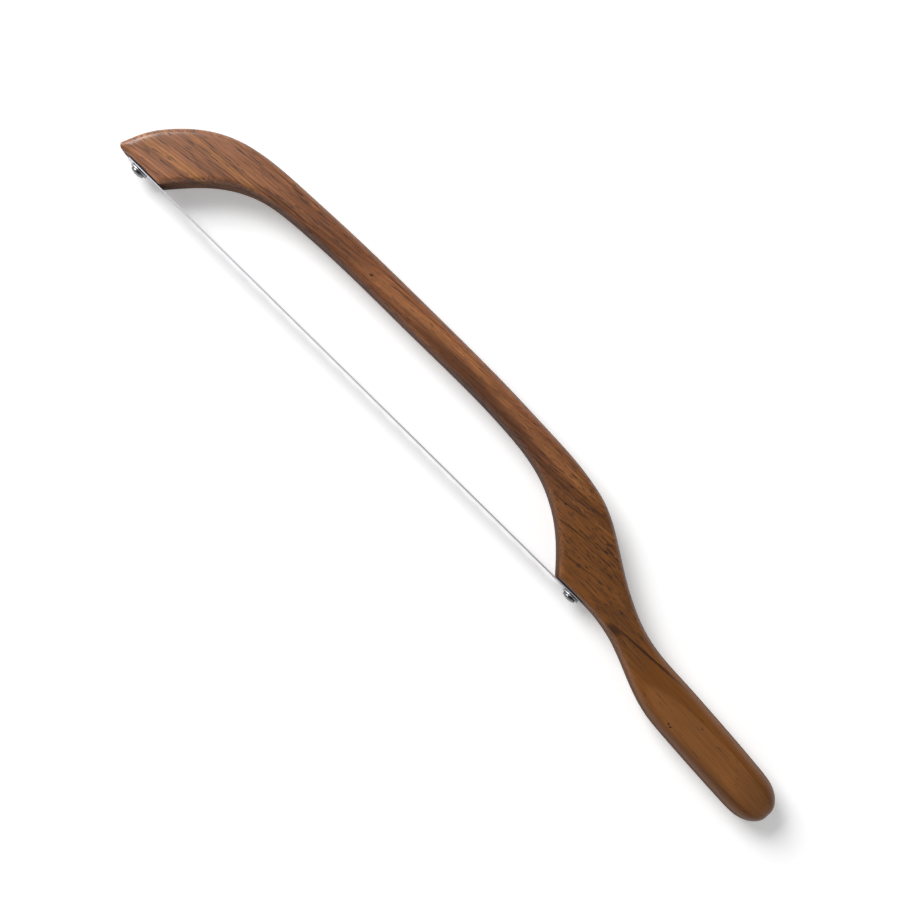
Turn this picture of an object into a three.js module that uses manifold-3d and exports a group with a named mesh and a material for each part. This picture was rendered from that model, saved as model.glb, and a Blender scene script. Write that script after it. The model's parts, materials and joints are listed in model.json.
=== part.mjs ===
// Bread bow knife: a one-piece hardwood bow that runs on into a handle, and a scalloped slicing
// blade stretched across the bow like a string, held at each end by a screw with a washer.
//
// Millimetres, +Z up. The knife lies flat: +X runs along the blade from the tip to the handle,
// +Y from the blade to the back of the bow, and the cutting edge faces down. While it is built,
// x = 0 is the tip screw, y = 0 the flat seats that the blade is screwed to, and z = 0 the
// underside. At the end the origin moves to the middle of the bounding box, on the underside.

import * as THREE from 'three';
import { mergeVertices } from 'three/addons/utils/BufferGeometryUtils.js';
import Module from 'manifold-3d';

const wasm = await Module();
wasm.setup();

// Blade
const SCREW_SPACING = 278;          // tip screw to heel screw, along the blade
const BLADE_WIDTH = 12.7;           // spine to the points of the cutting edge
const BLADE_THICKNESS = 0.5;
const BLADE_OVERHANG = 5.9;         // blade end beyond its screw
const BLADE_EDGE_THICKNESS = 0.12;  // left standing at the ground edge
const BEVEL_HEIGHT = 2.4;           // ground band above the edge, on the outer face
const SCALLOP_PITCH = 12.7;         // point to point
const SCALLOP_DEPTH = 1.6;          // hollow of one scallop above its points
const PLAIN_END = 11;               // from each screw to the first scallop

// Screws and washers
const THREAD_DIAMETER = 3.5;
const THREAD_ROOT_DIAMETER = 2.6;
const THREAD_PITCH = 1.3;
const THREAD_LENGTH = 16;           // under the head
const POINT_LENGTH = 4.2;           // tapered end of the thread
const POINT_SHARE = 0.2;            // of the thread's radius, left at the blunt end of the point
const HEAD_DIAMETER = 6.8;
const HEAD_HEIGHT = 1.7;
const HEAD_RIM = 0.6;               // straight side of the pan head
const RECESS_LENGTH = 3.8;          // across the cross recess
const RECESS_WIDTH = 1.05;
const RECESS_DEPTH = 1.0;
const WASHER_DIAMETER = 9;
const WASHER_THICKNESS = 0.8;
const WASHER_EASE = 0.12;           // chamfer round its rim

// Clearances
const CONTACT_GAP = 0.2;            // between pieces that are clamped together
const THREAD_CLEARANCE = 0.3;       // round the thread in wood, blade and washer
const PILOT_RUNOUT = 1.5;           // hole left beyond the screw's point
const CUTTER_LEAD = 1;              // a hole's cutter starts this far outside the piece

// Bow frame: seats, bow, neck and handle
const FRAME_THICKNESS = 18;
const BOW_CLEARANCE = 32.8;         // seats to the inner edge of the bow, at mid span
const BOW_WIDTH = 14.4;             // inner to outer edge, at mid span
const NOSE_REACH = 12.8;            // front of the tip, ahead of the tip screw
const NOSE_CORNER = 2.1;            // corner cut between the nose and its seat
const TIP_SEAT_REACH = 12.5;        // tip screw to the inner corner of its seat
const TIP_HEIGHT = 25.8;            // seat to the shoulder above the tip screw
const TIP_SHOULDER = 1.3;           // tip screw to that shoulder, along the blade
const TIP_THROAT = 57.5;            // length of the curve from the tip seat into the bow
const HEEL_THROAT = 62;             // length of the curve from the bow into the heel seat
const HEEL_SEAT_FRONT = 10.5;       // heel screw to the inner corner of its seat
const HEEL_SEAT_BACK = 10.7;        // heel screw to the end of its seat
const HEEL_HEIGHT = 28.3;           // seat to the shoulder above the heel screw
const HEEL_SHOULDER = 2.4;          // heel screw to that shoulder, along the blade
const NECK_WIDTH = 16.4;
const NECK_REACH = 24.5;            // end of the heel seat to the neck
const NECK_DROP = 5.7;              // underside edge of the neck, below the seats
const NECK_SLOPE = 22.5;            // degrees that the neck's underside edge runs down
const NAPE_REACH = 12.5;            // end of the heel seat to the hollow on the back of the neck
const NAPE_HEIGHT = 15.9;           // seats to that hollow
const HANDLE_WIDTH = 24;
const HANDLE_LENGTH = 99.2;         // neck to the end of the knife
const HANDLE_SLOPE = 4.3;           // degrees that the handle turns away from the bow
const HANDLE_SWELL = 35;            // neck to where the handle reaches its full width
const HANDLE_OFFSET = 5.0;          // handle's middle below the seats, where it is full

// Rounded edges of the frame
const SEAT_ROUND = 3.6;
const THROAT_ROUND = 3.15;
const BOW_ROUND = 4.5;
const HANDLE_ROUND = 6.5;
const ROUND_SHARE = 0.45;           // of a side, the most that one rounded edge may take
const SLANT_LIMIT = 0.6;            // least sine of a rib's angle with its edge that counts
const NOSE_DRAW = 1.25;             // how far the nose draws in at each side, seen from above
const NOSE_SINK = 1.6;              // how far it draws in from above and below
const NOSE_TAPER = 0.6;             // length over which it does
const NOSE_FACING = -135;           // degrees from +X that the nose faces
const BUTT_WIDTH = 23.2;            // handle where its end starts to round off
const BUTT_DRAW = 10.8;             // how far the end draws in at each side, seen from above
const BUTT_SINK = 5.2;              // how far it draws in from above and below
const BUTT_TAPER = 14;              // length over which it does
const CURVE_PULL = 0.36;            // of the way between two ribs, how far a heading pulls an edge

// Fineness
const CORNER_STEPS = 4;             // facets round each edge of the frame
const END_ANGLES = [18, 35, 50, 63, 75, 86];  // degrees round the nose and the end of the handle
const DOME_ANGLES = [70, 50, 30, 12];  // degrees over the dome of a screw's head
const TURN_STEPS = 12;              // facets round a thread
const ROUND_STEPS = 28;             // facets round a head, a washer or a hole
const SCALLOP_STEPS = 6;
const MERGE_DISTANCE = 1e-4;        // points closer than this become one

const WALNUT = { color: 0x7a5236, roughness: 0.5, metalness: 0 };
const BLADE_STEEL = { color: 0xc9c9cc, roughness: 0.3, metalness: 1 };
const SCREW_STEEL = { color: 0xb4b4b8, roughness: 0.35, metalness: 1 };

const heelX = SCREW_SPACING;
const midZ = FRAME_THICKNESS / 2;
const bladeFace = -CONTACT_GAP;
const bladeBack = bladeFace - BLADE_THICKNESS;
const washerFace = bladeBack - CONTACT_GAP;
const washerBack = washerFace - WASHER_THICKNESS;
const headFace = washerBack - CONTACT_GAP;
const holeRadius = THREAD_DIAMETER / 2 + THREAD_CLEARANCE;
const screwTip = headFace + THREAD_LENGTH;

// Meshes and solids

function geometryOf(positions, triangles) {
  const geometry = new THREE.BufferGeometry();
  geometry.setAttribute('position', new THREE.Float32BufferAttribute(positions, 3));
  geometry.setIndex(triangles);
  return geometry;
}

function solidOf(geometry) {
  const bare = geometry.clone();
  bare.deleteAttribute('normal');
  bare.deleteAttribute('uv');
  const merged = mergeVertices(bare, MERGE_DISTANCE);
  return new wasm.Manifold(new wasm.Mesh({
    numProp: 3,
    vertProperties: new Float32Array(merged.attributes.position.array),
    triVerts: new Uint32Array(merged.index.array),
  }));
}

function geometryOfSolid(solid) {
  const mesh = solid.getMesh();
  return geometryOf(Array.from(mesh.vertProperties), Array.from(mesh.triVerts));
}

function part(name, geometry, finish) {
  geometry.computeVertexNormals();
  const mesh = new THREE.Mesh(geometry, new THREE.MeshStandardMaterial(finish));
  mesh.name = name;
  return mesh;
}

// Joins rings of points, each with as many points, into one closed skin with flat ends.
// The rings run along the piece, and each turns anticlockwise seen from the piece's far end.
function loft(rings) {
  const size = rings[0].length;
  const positions = rings.flatMap((ring) => ring.flatMap((point) => [point.x, point.y, point.z]));
  const triangles = [];
  for (let ring = 0; ring + 1 < rings.length; ring++) {
    for (let i = 0; i < size; i++) {
      const a = ring * size + i;
      const b = ring * size + (i + 1) % size;
      triangles.push(a, b, b + size, a, b + size, a + size);
    }
  }
  const last = (rings.length - 1) * size;
  for (let i = 1; i + 1 < size; i++) {
    triangles.push(0, i + 1, i);
    triangles.push(last, last + i, last + i + 1);
  }
  return geometryOf(positions, triangles);
}

// Outline of the frame

function heading(degrees) {
  const angle = THREE.MathUtils.degToRad(degrees);
  return new THREE.Vector2(Math.cos(angle), Math.sin(angle));
}

// A point of an edge, and the headings at which the edge comes in and goes on.
function anchor(x, y, headingIn, headingOut = headingIn) {
  return { point: new THREE.Vector2(x, y), inward: heading(headingIn), onward: heading(headingOut) };
}

function edgeBetween(from, to) {
  const reach = from.point.distanceTo(to.point) * CURVE_PULL;
  return new THREE.CubicBezierCurve(
    from.point,
    from.point.clone().addScaledVector(from.onward, reach),
    to.point.clone().addScaledVector(to.inward, -reach),
    to.point,
  );
}

// Ribs cross the frame from its inner edge, on the blade's side, to its outer edge, from the nose
// to the end of the handle. Between two ribs both edges are smooth curves. Each anchor gives its
// place and its heading in degrees, as shares of the named sizes where it lies between two of them.
function frameRibs() {
  const bowTop = BOW_CLEARANCE + BOW_WIDTH;
  const seatEnd = heelX + HEEL_SEAT_BACK;
  const neckX = seatEnd + NECK_REACH;
  const neck = anchor(neckX, -NECK_DROP, -NECK_SLOPE);
  const neckTop = neck.point.clone().addScaledVector(heading(90 - NECK_SLOPE), NECK_WIDTH);
  const along = heading(-HANDLE_SLOPE);
  const across = heading(90 - HANDLE_SLOPE);
  const full = new THREE.Vector2(neckX + HANDLE_SWELL, -HANDLE_OFFSET);
  const butt = full.clone().addScaledVector(along, HANDLE_LENGTH - HANDLE_SWELL - BUTT_TAPER);
  const side = (middle, offset, turn) => {
    const point = middle.clone().addScaledVector(across, offset);
    return anchor(point.x, point.y, turn);
  };
  const tipThroat = (share) => TIP_SEAT_REACH + share * TIP_THROAT;
  const heelCorner = heelX - HEEL_SEAT_FRONT;
  const heelThroat = (share) => heelCorner - share * HEEL_THROAT;
  return [
    // Nose
    { inner: anchor(-NOSE_REACH + NOSE_CORNER, 0, 0), outer: anchor(-NOSE_REACH, NOSE_CORNER, 78),
      round: SEAT_ROUND, steps: 14 },
    // Inner corner of the tip seat, to the shoulder of the tip
    { inner: anchor(TIP_SEAT_REACH, 0, 0, 50), outer: anchor(TIP_SHOULDER, TIP_HEIGHT, 45.4),
      round: SEAT_ROUND, steps: 10 },
    // Throat of the tip
    { inner: anchor(tipThroat(0.48), 0.765 * BOW_CLEARANCE, 27),
      outer: anchor(tipThroat(0.36), 0.91 * bowTop, 11), round: THROAT_ROUND, steps: 8 },
    // Bow: its start, mid span and end
    { inner: anchor(tipThroat(1), 0.96 * BOW_CLEARANCE, 4),
      outer: anchor(tipThroat(0.94), 0.972 * bowTop, 2.8), round: BOW_ROUND, steps: 6 },
    { inner: anchor(0.5 * heelX, BOW_CLEARANCE, 0), outer: anchor(0.515 * heelX, bowTop, 0),
      round: BOW_ROUND, steps: 6 },
    { inner: anchor(heelThroat(1), 0.97 * BOW_CLEARANCE, -4.5),
      outer: anchor(heelThroat(0.94), 0.975 * bowTop, -3.2), round: BOW_ROUND, steps: 8 },
    // Throat of the heel
    { inner: anchor(heelThroat(0.38), 0.652 * BOW_CLEARANCE, -31),
      outer: anchor(heelThroat(0.215), 0.877 * bowTop, -13.5), round: THROAT_ROUND, steps: 10 },
    // Inner corner of the heel seat, to the shoulder of the heel
    { inner: anchor(heelCorner, 0, -49, 0), outer: anchor(heelX + HEEL_SHOULDER, HEEL_HEIGHT, -33),
      round: SEAT_ROUND, steps: 7 },
    // End of the heel seat, to the hollow on the back of the neck
    { inner: anchor(seatEnd, 0, 0, -4), outer: anchor(seatEnd + NAPE_REACH, NAPE_HEIGHT, -25.5),
      round: THROAT_ROUND, steps: 6 },
    // Neck
    { inner: neck, outer: anchor(neckTop.x, neckTop.y, -11.5), round: BOW_ROUND, steps: 7 },
    // Handle: where it is full, and where its end starts to round off
    { inner: side(full, -HANDLE_WIDTH / 2, -4.8), outer: side(full, HANDLE_WIDTH / 2, -4),
      round: HANDLE_ROUND, steps: 8 },
    { inner: side(butt, -BUTT_WIDTH / 2, -3.2), outer: side(butt, BUTT_WIDTH / 2, -6),
      round: HANDLE_ROUND, steps: 0 },
  ];
}

// One rounded cross-section of the frame, standing on the line from its inner to its outer edge.
// The rounded corner reaches further along a rib that crosses its edge at a slant.
function frameRing(rib) {
  const line = rib.outer.clone().sub(rib.inner);
  const width = line.length();
  line.divideScalar(width);
  const height = FRAME_THICKNESS - 2 * rib.sink;
  const round = Math.min(rib.round, ROUND_SHARE * width, ROUND_SHARE * height);
  const slant = (tangent) => round / Math.max(SLANT_LIMIT, Math.abs(line.cross(tangent)));
  const innerReach = Math.min(slant(rib.innerTangent), ROUND_SHARE * width);
  const outerReach = Math.min(slant(rib.outerTangent), ROUND_SHARE * width);
  const low = rib.sink + round;
  const high = FRAME_THICKNESS - rib.sink - round;
  const corners = [
    { s: innerReach, z: low, reach: innerReach, start: 180 },
    { s: width - outerReach, z: low, reach: outerReach, start: 270 },
    { s: width - outerReach, z: high, reach: outerReach, start: 0 },
    { s: innerReach, z: high, reach: innerReach, start: 90 },
  ];
  const ring = [];
  for (const corner of corners) {
    for (let i = 0; i <= CORNER_STEPS; i++) {
      const angle = heading(corner.start + 90 * i / CORNER_STEPS);
      const s = corner.s + corner.reach * angle.x;
      ring.push(new THREE.Vector3(
        rib.inner.x + s * line.x, rib.inner.y + s * line.y, corner.z + round * angle.y));
    }
  }
  return ring;
}

function frameRings() {
  const ribs = frameRibs();
  const rings = [];
  for (let i = 0; i + 1 < ribs.length; i++) {
    const from = ribs[i];
    const to = ribs[i + 1];
    const inner = edgeBetween(from.inner, to.inner);
    const outer = edgeBetween(from.outer, to.outer);
    const lastStep = i + 2 === ribs.length ? from.steps : from.steps - 1;
    for (let step = 0; step <= lastStep; step++) {
      const t = step / from.steps;
      rings.push(frameRing({
        inner: inner.getPoint(t), outer: outer.getPoint(t),
        innerTangent: inner.getTangent(t), outerTangent: outer.getTangent(t),
        round: THREE.MathUtils.lerp(from.round, to.round, t), sink: 0,
      }));
    }
  }
  const nose = endRings(ribs[0], heading(NOSE_FACING), NOSE_DRAW, NOSE_SINK, NOSE_TAPER);
  const butt = endRings(ribs[ribs.length - 1], heading(-HANDLE_SLOPE), BUTT_DRAW, BUTT_SINK, BUTT_TAPER);
  return [...nose.reverse(), ...rings, ...butt];
}

// Rounds off an end of the frame: the section draws in as it goes out.
function endRings(rib, outward, draw, sink, taper) {
  const across = rib.outer.point.clone().sub(rib.inner.point).normalize();
  return END_ANGLES.map((angle) => {
    const turn = heading(angle);
    const drawIn = draw * (1 - turn.x);
    const out = outward.clone().multiplyScalar(taper * turn.y);
    return frameRing({
      inner: rib.inner.point.clone().add(out).addScaledVector(across, drawIn),
      outer: rib.outer.point.clone().add(out).addScaledVector(across, -drawIn),
      innerTangent: outward, outerTangent: outward,
      round: rib.round * turn.x, sink: sink * (1 - turn.x),
    });
  });
}

function pilotHole(x) {
  const bottom = screwTip + PILOT_RUNOUT;
  const length = bottom + CUTTER_LEAD;
  const hole = new THREE.CylinderGeometry(holeRadius, holeRadius, length, ROUND_STEPS);
  hole.translate(x, bottom - length / 2, midZ);
  return solidOf(hole);
}

function bowFrame() {
  const frame = solidOf(loft(frameRings())).subtract(pilotHole(0)).subtract(pilotHole(heelX));
  return part('bow_frame', geometryOfSolid(frame), WALNUT);
}

// Blade

// Height of the cutting edge over its points: each scallop is an arc between two points.
function scallopRise(along) {
  const radius = (SCALLOP_PITCH ** 2 / 4 + SCALLOP_DEPTH ** 2) / (2 * SCALLOP_DEPTH);
  const fromMiddle = along - SCALLOP_PITCH / 2;
  return Math.sqrt(radius ** 2 - fromMiddle ** 2) - (radius - SCALLOP_DEPTH);
}

function bladeStations() {
  const scallopCount = Math.floor((SCREW_SPACING - 2 * PLAIN_END) / SCALLOP_PITCH);
  const first = (SCREW_SPACING - scallopCount * SCALLOP_PITCH) / 2;
  const stations = [{ x: -BLADE_OVERHANG, rise: 0 }];
  for (let scallop = 0; scallop < scallopCount; scallop++) {
    for (let step = 0; step < SCALLOP_STEPS; step++) {
      const along = SCALLOP_PITCH * step / SCALLOP_STEPS;
      stations.push({ x: first + scallop * SCALLOP_PITCH + along, rise: scallopRise(along) });
    }
  }
  stations.push({ x: first + scallopCount * SCALLOP_PITCH, rise: 0 });
  stations.push({ x: SCREW_SPACING + BLADE_OVERHANG, rise: 0 });
  return stations;
}

function blade() {
  const spine = midZ + BLADE_WIDTH / 2;
  const points = midZ - BLADE_WIDTH / 2;
  const rings = bladeStations().map(({ x, rise }) => {
    const edge = points + rise;
    return [
      new THREE.Vector3(x, bladeFace, spine),
      new THREE.Vector3(x, bladeBack, spine),
      new THREE.Vector3(x, bladeBack, edge + BEVEL_HEIGHT),
      new THREE.Vector3(x, bladeFace - BLADE_EDGE_THICKNESS, edge),
      new THREE.Vector3(x, bladeFace, edge),
    ];
  });
  let solid = solidOf(loft(rings));
  const through = BLADE_THICKNESS + 2 * CUTTER_LEAD;
  for (const x of [0, heelX]) {
    const hole = new THREE.CylinderGeometry(holeRadius, holeRadius, through, ROUND_STEPS);
    hole.translate(x, (bladeFace + bladeBack) / 2, midZ);
    solid = solid.subtract(solidOf(hole));
  }
  return part('blade', geometryOfSolid(solid), BLADE_STEEL);
}

// Washers and screws, each built about the Y axis with y as on the knife

function washer(name, x) {
  const outer = WASHER_DIAMETER / 2;
  const rim = outer - WASHER_EASE;
  const profile = [
    [holeRadius, washerBack], [rim, washerBack], [outer, washerBack + WASHER_EASE],
    [outer, washerFace - WASHER_EASE], [rim, washerFace], [holeRadius, washerFace],
    [holeRadius, washerBack],
  ].map(([radius, y]) => new THREE.Vector2(radius, y));
  const ring = part(name, geometryOfSolid(solidOf(new THREE.LatheGeometry(profile, ROUND_STEPS))),
    SCREW_STEEL);
  ring.position.set(x, 0, midZ);
  return ring;
}

function screwHead() {
  const top = headFace - HEAD_HEIGHT;
  const radius = HEAD_DIAMETER / 2;
  const domeHeight = HEAD_HEIGHT - HEAD_RIM;
  const profile = [new THREE.Vector2(0, top)];
  for (const angle of DOME_ANGLES) {
    const turn = heading(angle);
    profile.push(new THREE.Vector2(radius * turn.x, headFace - HEAD_RIM - domeHeight * turn.y));
  }
  profile.push(new THREE.Vector2(radius, headFace - HEAD_RIM));
  profile.push(new THREE.Vector2(radius, headFace));
  profile.push(new THREE.Vector2(0, headFace));
  let head = solidOf(new THREE.LatheGeometry(profile, ROUND_STEPS));
  for (const turn of [0, Math.PI / 2]) {
    const slot = new THREE.BoxGeometry(RECESS_LENGTH, 2 * RECESS_DEPTH, RECESS_WIDTH);
    slot.rotateY(turn);
    slot.translate(0, top, 0);
    head = head.subtract(solidOf(slot));
  }
  return head;
}

// Right-hand thread: rows of points that climb one pitch a turn, held in at both ends, where they
// close up on a flat disc under the head and on the blunt end of the point.
function screwThread() {
  const start = headFace - HEAD_RIM / 2;
  const crest = THREAD_DIAMETER / 2;
  const root = THREAD_ROOT_DIAMETER / 2;
  // Shares of a pitch: half of it lies at the root, and a narrow flat at the crest.
  const rowsOfOneTurn = [
    { rise: 0, radius: root }, { rise: 0.5, radius: root },
    { rise: 0.7, radius: crest }, { rise: 0.8, radius: crest },
  ];
  const turns = Math.ceil((screwTip - start) / THREAD_PITCH) + 1;
  const rows = [];
  for (let turn = -1; turn < turns; turn++) {
    for (const row of rowsOfOneTurn) {
      rows.push({ y: start + (turn + row.rise) * THREAD_PITCH, radius: row.radius });
    }
  }
  const positions = [0, start, 0, 0, screwTip, 0];
  for (const row of rows) {
    for (let i = 0; i < TURN_STEPS; i++) {
      const climbed = row.y + THREAD_PITCH * i / TURN_STEPS;
      const y = THREE.MathUtils.clamp(climbed, start, screwTip);
      const end = y !== climbed;
      const taper = THREE.MathUtils.clamp((screwTip - y) / POINT_LENGTH, POINT_SHARE, 1);
      const radius = (end ? root : row.radius) * taper;
      const angle = 2 * Math.PI * i / TURN_STEPS;
      positions.push(radius * Math.sin(angle), y, radius * Math.cos(angle));
    }
  }
  // The last column of a row runs on into the first column one turn further up.
  const at = (row, i) => 2 + (i < TURN_STEPS
    ? row * TURN_STEPS + i
    : Math.min(row + rowsOfOneTurn.length, rows.length - 1) * TURN_STEPS);
  const triangles = [];
  for (let i = 0; i < TURN_STEPS; i++) {
    for (let row = 0; row + 1 < rows.length; row++) {
      const a = at(row, i);
      const b = at(row, i + 1);
      const c = at(row + 1, i + 1);
      const d = at(row + 1, i);
      triangles.push(a, b, c, a, c, d);
    }
    triangles.push(0, at(0, i + 1), at(0, i));
    triangles.push(1, at(rows.length - 1, i), at(rows.length - 1, i + 1));
  }
  return solidOf(withoutSlivers(geometryOf(positions, triangles)));
}

// Drops the triangles that lost a side when their points were held in.
function withoutSlivers(geometry) {
  const merged = mergeVertices(geometry, MERGE_DISTANCE);
  const index = merged.index.array;
  const kept = [];
  for (let i = 0; i < index.length; i += 3) {
    const [a, b, c] = [index[i], index[i + 1], index[i + 2]];
    if (a !== b && b !== c && c !== a) kept.push(a, b, c);
  }
  merged.setIndex(kept);
  return merged;
}

function screw(name, x) {
  const body = part(name, geometryOfSolid(screwHead().add(screwThread())), SCREW_STEEL);
  body.position.set(x, 0, midZ);
  return body;
}

const knife = new THREE.Group();
knife.add(
  bowFrame(),
  blade(),
  washer('tip_washer', 0),
  screw('tip_screw', 0),
  washer('heel_washer', heelX),
  screw('heel_screw', heelX),
);

const box = new THREE.Box3().setFromObject(knife);
const middle = box.getCenter(new THREE.Vector3());
knife.position.set(-middle.x, -middle.y, -box.min.z);

export default knife;
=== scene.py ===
"""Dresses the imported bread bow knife: an oiled walnut bow and handle in one piece, a scalloped blade of
polished stainless strip, and two pan-head screws with their washers, on a pale studio floor."""

import json
import math

import bmesh
import bpy
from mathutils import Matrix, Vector


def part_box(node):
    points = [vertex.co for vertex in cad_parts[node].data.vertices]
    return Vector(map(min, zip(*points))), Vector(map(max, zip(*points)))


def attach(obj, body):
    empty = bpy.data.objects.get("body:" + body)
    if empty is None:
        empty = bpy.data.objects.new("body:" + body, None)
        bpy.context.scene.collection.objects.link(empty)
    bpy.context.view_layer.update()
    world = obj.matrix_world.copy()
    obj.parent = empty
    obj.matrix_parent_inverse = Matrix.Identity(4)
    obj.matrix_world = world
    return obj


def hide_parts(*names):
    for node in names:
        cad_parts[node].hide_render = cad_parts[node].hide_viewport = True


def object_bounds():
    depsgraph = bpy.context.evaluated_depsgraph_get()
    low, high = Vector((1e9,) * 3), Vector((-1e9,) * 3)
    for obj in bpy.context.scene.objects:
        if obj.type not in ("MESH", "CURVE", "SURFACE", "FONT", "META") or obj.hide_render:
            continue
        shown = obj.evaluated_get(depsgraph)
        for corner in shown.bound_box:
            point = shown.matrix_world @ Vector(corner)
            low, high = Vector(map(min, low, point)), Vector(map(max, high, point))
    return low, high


bl_info = {
    "name": "Bread Bow Knife",
    "version": (1, 0, 0),
    "blender": (4, 5, 0),
    "location": "View3D > Sidebar > Bread Knife",
    "description": "Builds the looks of a bread bow knife round its packed solids",
    "category": "Object",
}

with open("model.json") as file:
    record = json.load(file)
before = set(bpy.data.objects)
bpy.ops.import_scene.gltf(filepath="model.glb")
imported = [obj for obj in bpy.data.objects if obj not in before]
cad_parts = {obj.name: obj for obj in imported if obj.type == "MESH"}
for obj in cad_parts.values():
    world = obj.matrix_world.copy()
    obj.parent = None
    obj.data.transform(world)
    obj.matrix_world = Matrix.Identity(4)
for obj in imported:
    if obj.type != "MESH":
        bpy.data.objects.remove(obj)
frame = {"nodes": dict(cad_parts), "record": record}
CAD_BOX = [list(corner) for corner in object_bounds()]

MM = 0.001

# Camera, worked out from the photograph's outline: it stands a little on the blade's side of the knife
CAMERA_PLACE = Vector((-8.3, -49.7, 720.0)) * MM
CAMERA_TARGET = Vector((-8.0, -5.8, 9.0)) * MM
CAMERA_UP = Vector((-0.701, 0.713, 0.0))
CAMERA_LENS = 62.0
CAMERA_CLIP = 0.01

# Studio, in metres: the lamp's place, half the floor's width, the squares along its side, how far it lies
# under the knife, and the distances from its middle between which the paper sweeps up to white
SOFTBOX_PLACE = Vector((-1.66, 0.2, 1.42))
FLOOR_HALF_WIDTH = 3.0
FLOOR_SQUARES = 8
FLOOR_DROP = 0.1 * MM
SWEEP_START = 0.35
SWEEP_END = 0.9
# Rise of a mirrored view, from level at 0 to straight up at 1, between which walls turn to ceiling
WALL_TOP = 0.1
CEILING_EDGE = 0.7

# Steps in one scallop, round a hole, round a washer and in its rounded corners, round a screw's thread and
# over the dome of its head
SCALLOP_STEPS = 20
HOLE_STEPS = 48
WASHER_STEPS = 72
CORNER_STEPS = 3
SCREW_STEPS = 32
DOME_STEPS = 8
# Turns that a thread's strip makes before it leaves the seat of the head
LEAD_TURNS = 2

# Distances at which points of the bow, of a bent grid and of the thread are merged, and width of a sliver
BOW_MERGE = 0.001 * MM
GRID_MERGE = 0.002 * MM
THREAD_MERGE = 0.004 * MM
SLIVER = 0.0005 * MM

# Angles in degrees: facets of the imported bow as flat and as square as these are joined, its edges past the
# crease stay sharp under the rounding, and a piece's edges past its own angle are shaded sharp
FLAT_ANGLE = 12
SQUARE_ANGLE = 70
CREASE_ANGLE = 38
BOW_SHARP = 35
BLADE_SHARP = 20
WASHER_SHARP = 35
SCREW_SHARP = 28

# Places along the knife, in mm, where the wood has the colour of that setting; the tip's colour is lighter
# partly as painted sheen
WOOD_COLOURS = (
    (-175, "tip"), (-125, "bow"), (20, "bow"), (60, "heel"), (105, "heel"), (130, "handle"),
)
# Places along the knife, in mm, between which the wood grows as calm as the handle, and how calm that is
HANDLE_START = 90.0
HANDLE_FULL = 135.0
HANDLE_CALM = 0.65
# Places along the knife, in mm, between which the light streaks fade, and the share of them that stays
STREAKS_FULL = 30.0
STREAKS_FADED = 80.0
STREAKS_LEFT = 0.2

# How far the grain has drifted across the board, in mm, at places along the knife
GRAIN_DRIFT = (
    (-212, 0.0), (-190, 3.5), (-160, 7.0), (-120, 10.0), (-60, 14.5), (0, 17.0),
    (40, 18.6), (70, 19.4), (90, 19.2), (110, 18.4), (140, 16.6), (212, 11.4),
)
# Drift that the full height of the curve stands for, and half the knife's length, in mm
DRIFT_RANGE = 30.0
HALF_LENGTH = CAD_BOX[1][0] / MM

# Marks of this board, and painted shadow in the crevices where the blade sits on the wood: place, half sizes
# and turn, in mm and degrees, then strength, and how soft the rim is as a share of the mark. TOP is the
# height of the upper face
TOP = 18.0
DARK_MARKS = (
    ("neck smudge", (102.4, -12.0, TOP), (4.4, 1.8, 6.0), 4, 0.72, 0.6),
    ("neck shade", (108.0, -10.0, TOP), (15.0, 10.0, 24.0), -15, 0.14, 0.6),
    ("neck streak", (121.6, -9.7, TOP), (23.0, 0.55, 6.0), 3, 0.78, 0.5),
    ("inner band", (-2.5, 20.2, TOP), (52.0, 4.4, 14.0), -5, 0.42, 0.4),
    ("first heel line", (49.0, 13.8, TOP), (10.0, 0.3, 3.0), 7, 0.7, 0.4),
    ("second heel line", (56.3, 7.1, TOP), (10.0, 0.3, 3.0), 7, 0.75, 0.4),
    ("third heel line", (70.4, -2.6, TOP), (10.0, 0.3, 3.0), 7, 0.6, 0.4),
    ("first pin knot", (149.7, -25.4, TOP), (0.55, 0.45, 3.0), 0, 0.95, 0.3),
    ("second pin knot", (151.3, -25.9, TOP), (0.65, 0.52, 3.0), 0, 0.95, 0.3),
    ("small pin knot", (162.3, -16.2, TOP), (0.42, 0.4, 3.0), 0, 0.8, 0.3),
    ("handle shade", (179.0, -29.2, TOP), (33.0, 2.8, 16.0), -2, 0.28, 0.6),
    ("butt shade", (204.0, -22.5, TOP), (13.0, 13.0, 24.0), 0, 0.2, 0.6),
    ("throat band", (-122.0, 21.5, TOP), (27.0, 3.6, 14.0), 7, 0.3, 0.5),
    ("bow fleck", (-89.2, 25.3, TOP), (1.1, 0.7, 3.0), 15, 0.8, 0.3),
    # Painted shadow: the two seat marks are thin dark lines in the crevices where the blade sits against the
    # wood
    ("tip seat stain", (-197.0, -13.3, TOP / 2), (10.5, 0.5, 30.0), 0, 0.95, 0.25),
    ("heel seat stain", (76.5, -13.3, TOP / 2), (9.5, 0.5, 30.0), 0, 0.95, 0.25),
)
LIGHT_MARKS = (
    ("handle flame", (174.0, -21.7, TOP), (43.0, 7.2, 16.0), -2, 0.24, 0.1),
    ("heel band", (35.0, 25.8, TOP), (15.0, 1.5, 16.0), -3, 0.3, 0.4),
    ("bow band", (-54.0, 27.4, TOP), (42.0, 2.0, 16.0), 4, 0.3, 0.5),
    ("lower bow band", (2.0, 26.2, TOP), (42.0, 1.8, 16.0), -4, 0.3, 0.5),
    ("tip band", (-192.5, -0.8, TOP), (24.0, 2.2, 16.0), 9, 0.5, 0.4),
    ("upper tip band", (-174.5, 14.3, TOP), (30.0, 1.8, 16.0), 3, 0.5, 0.4),
)
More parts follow.
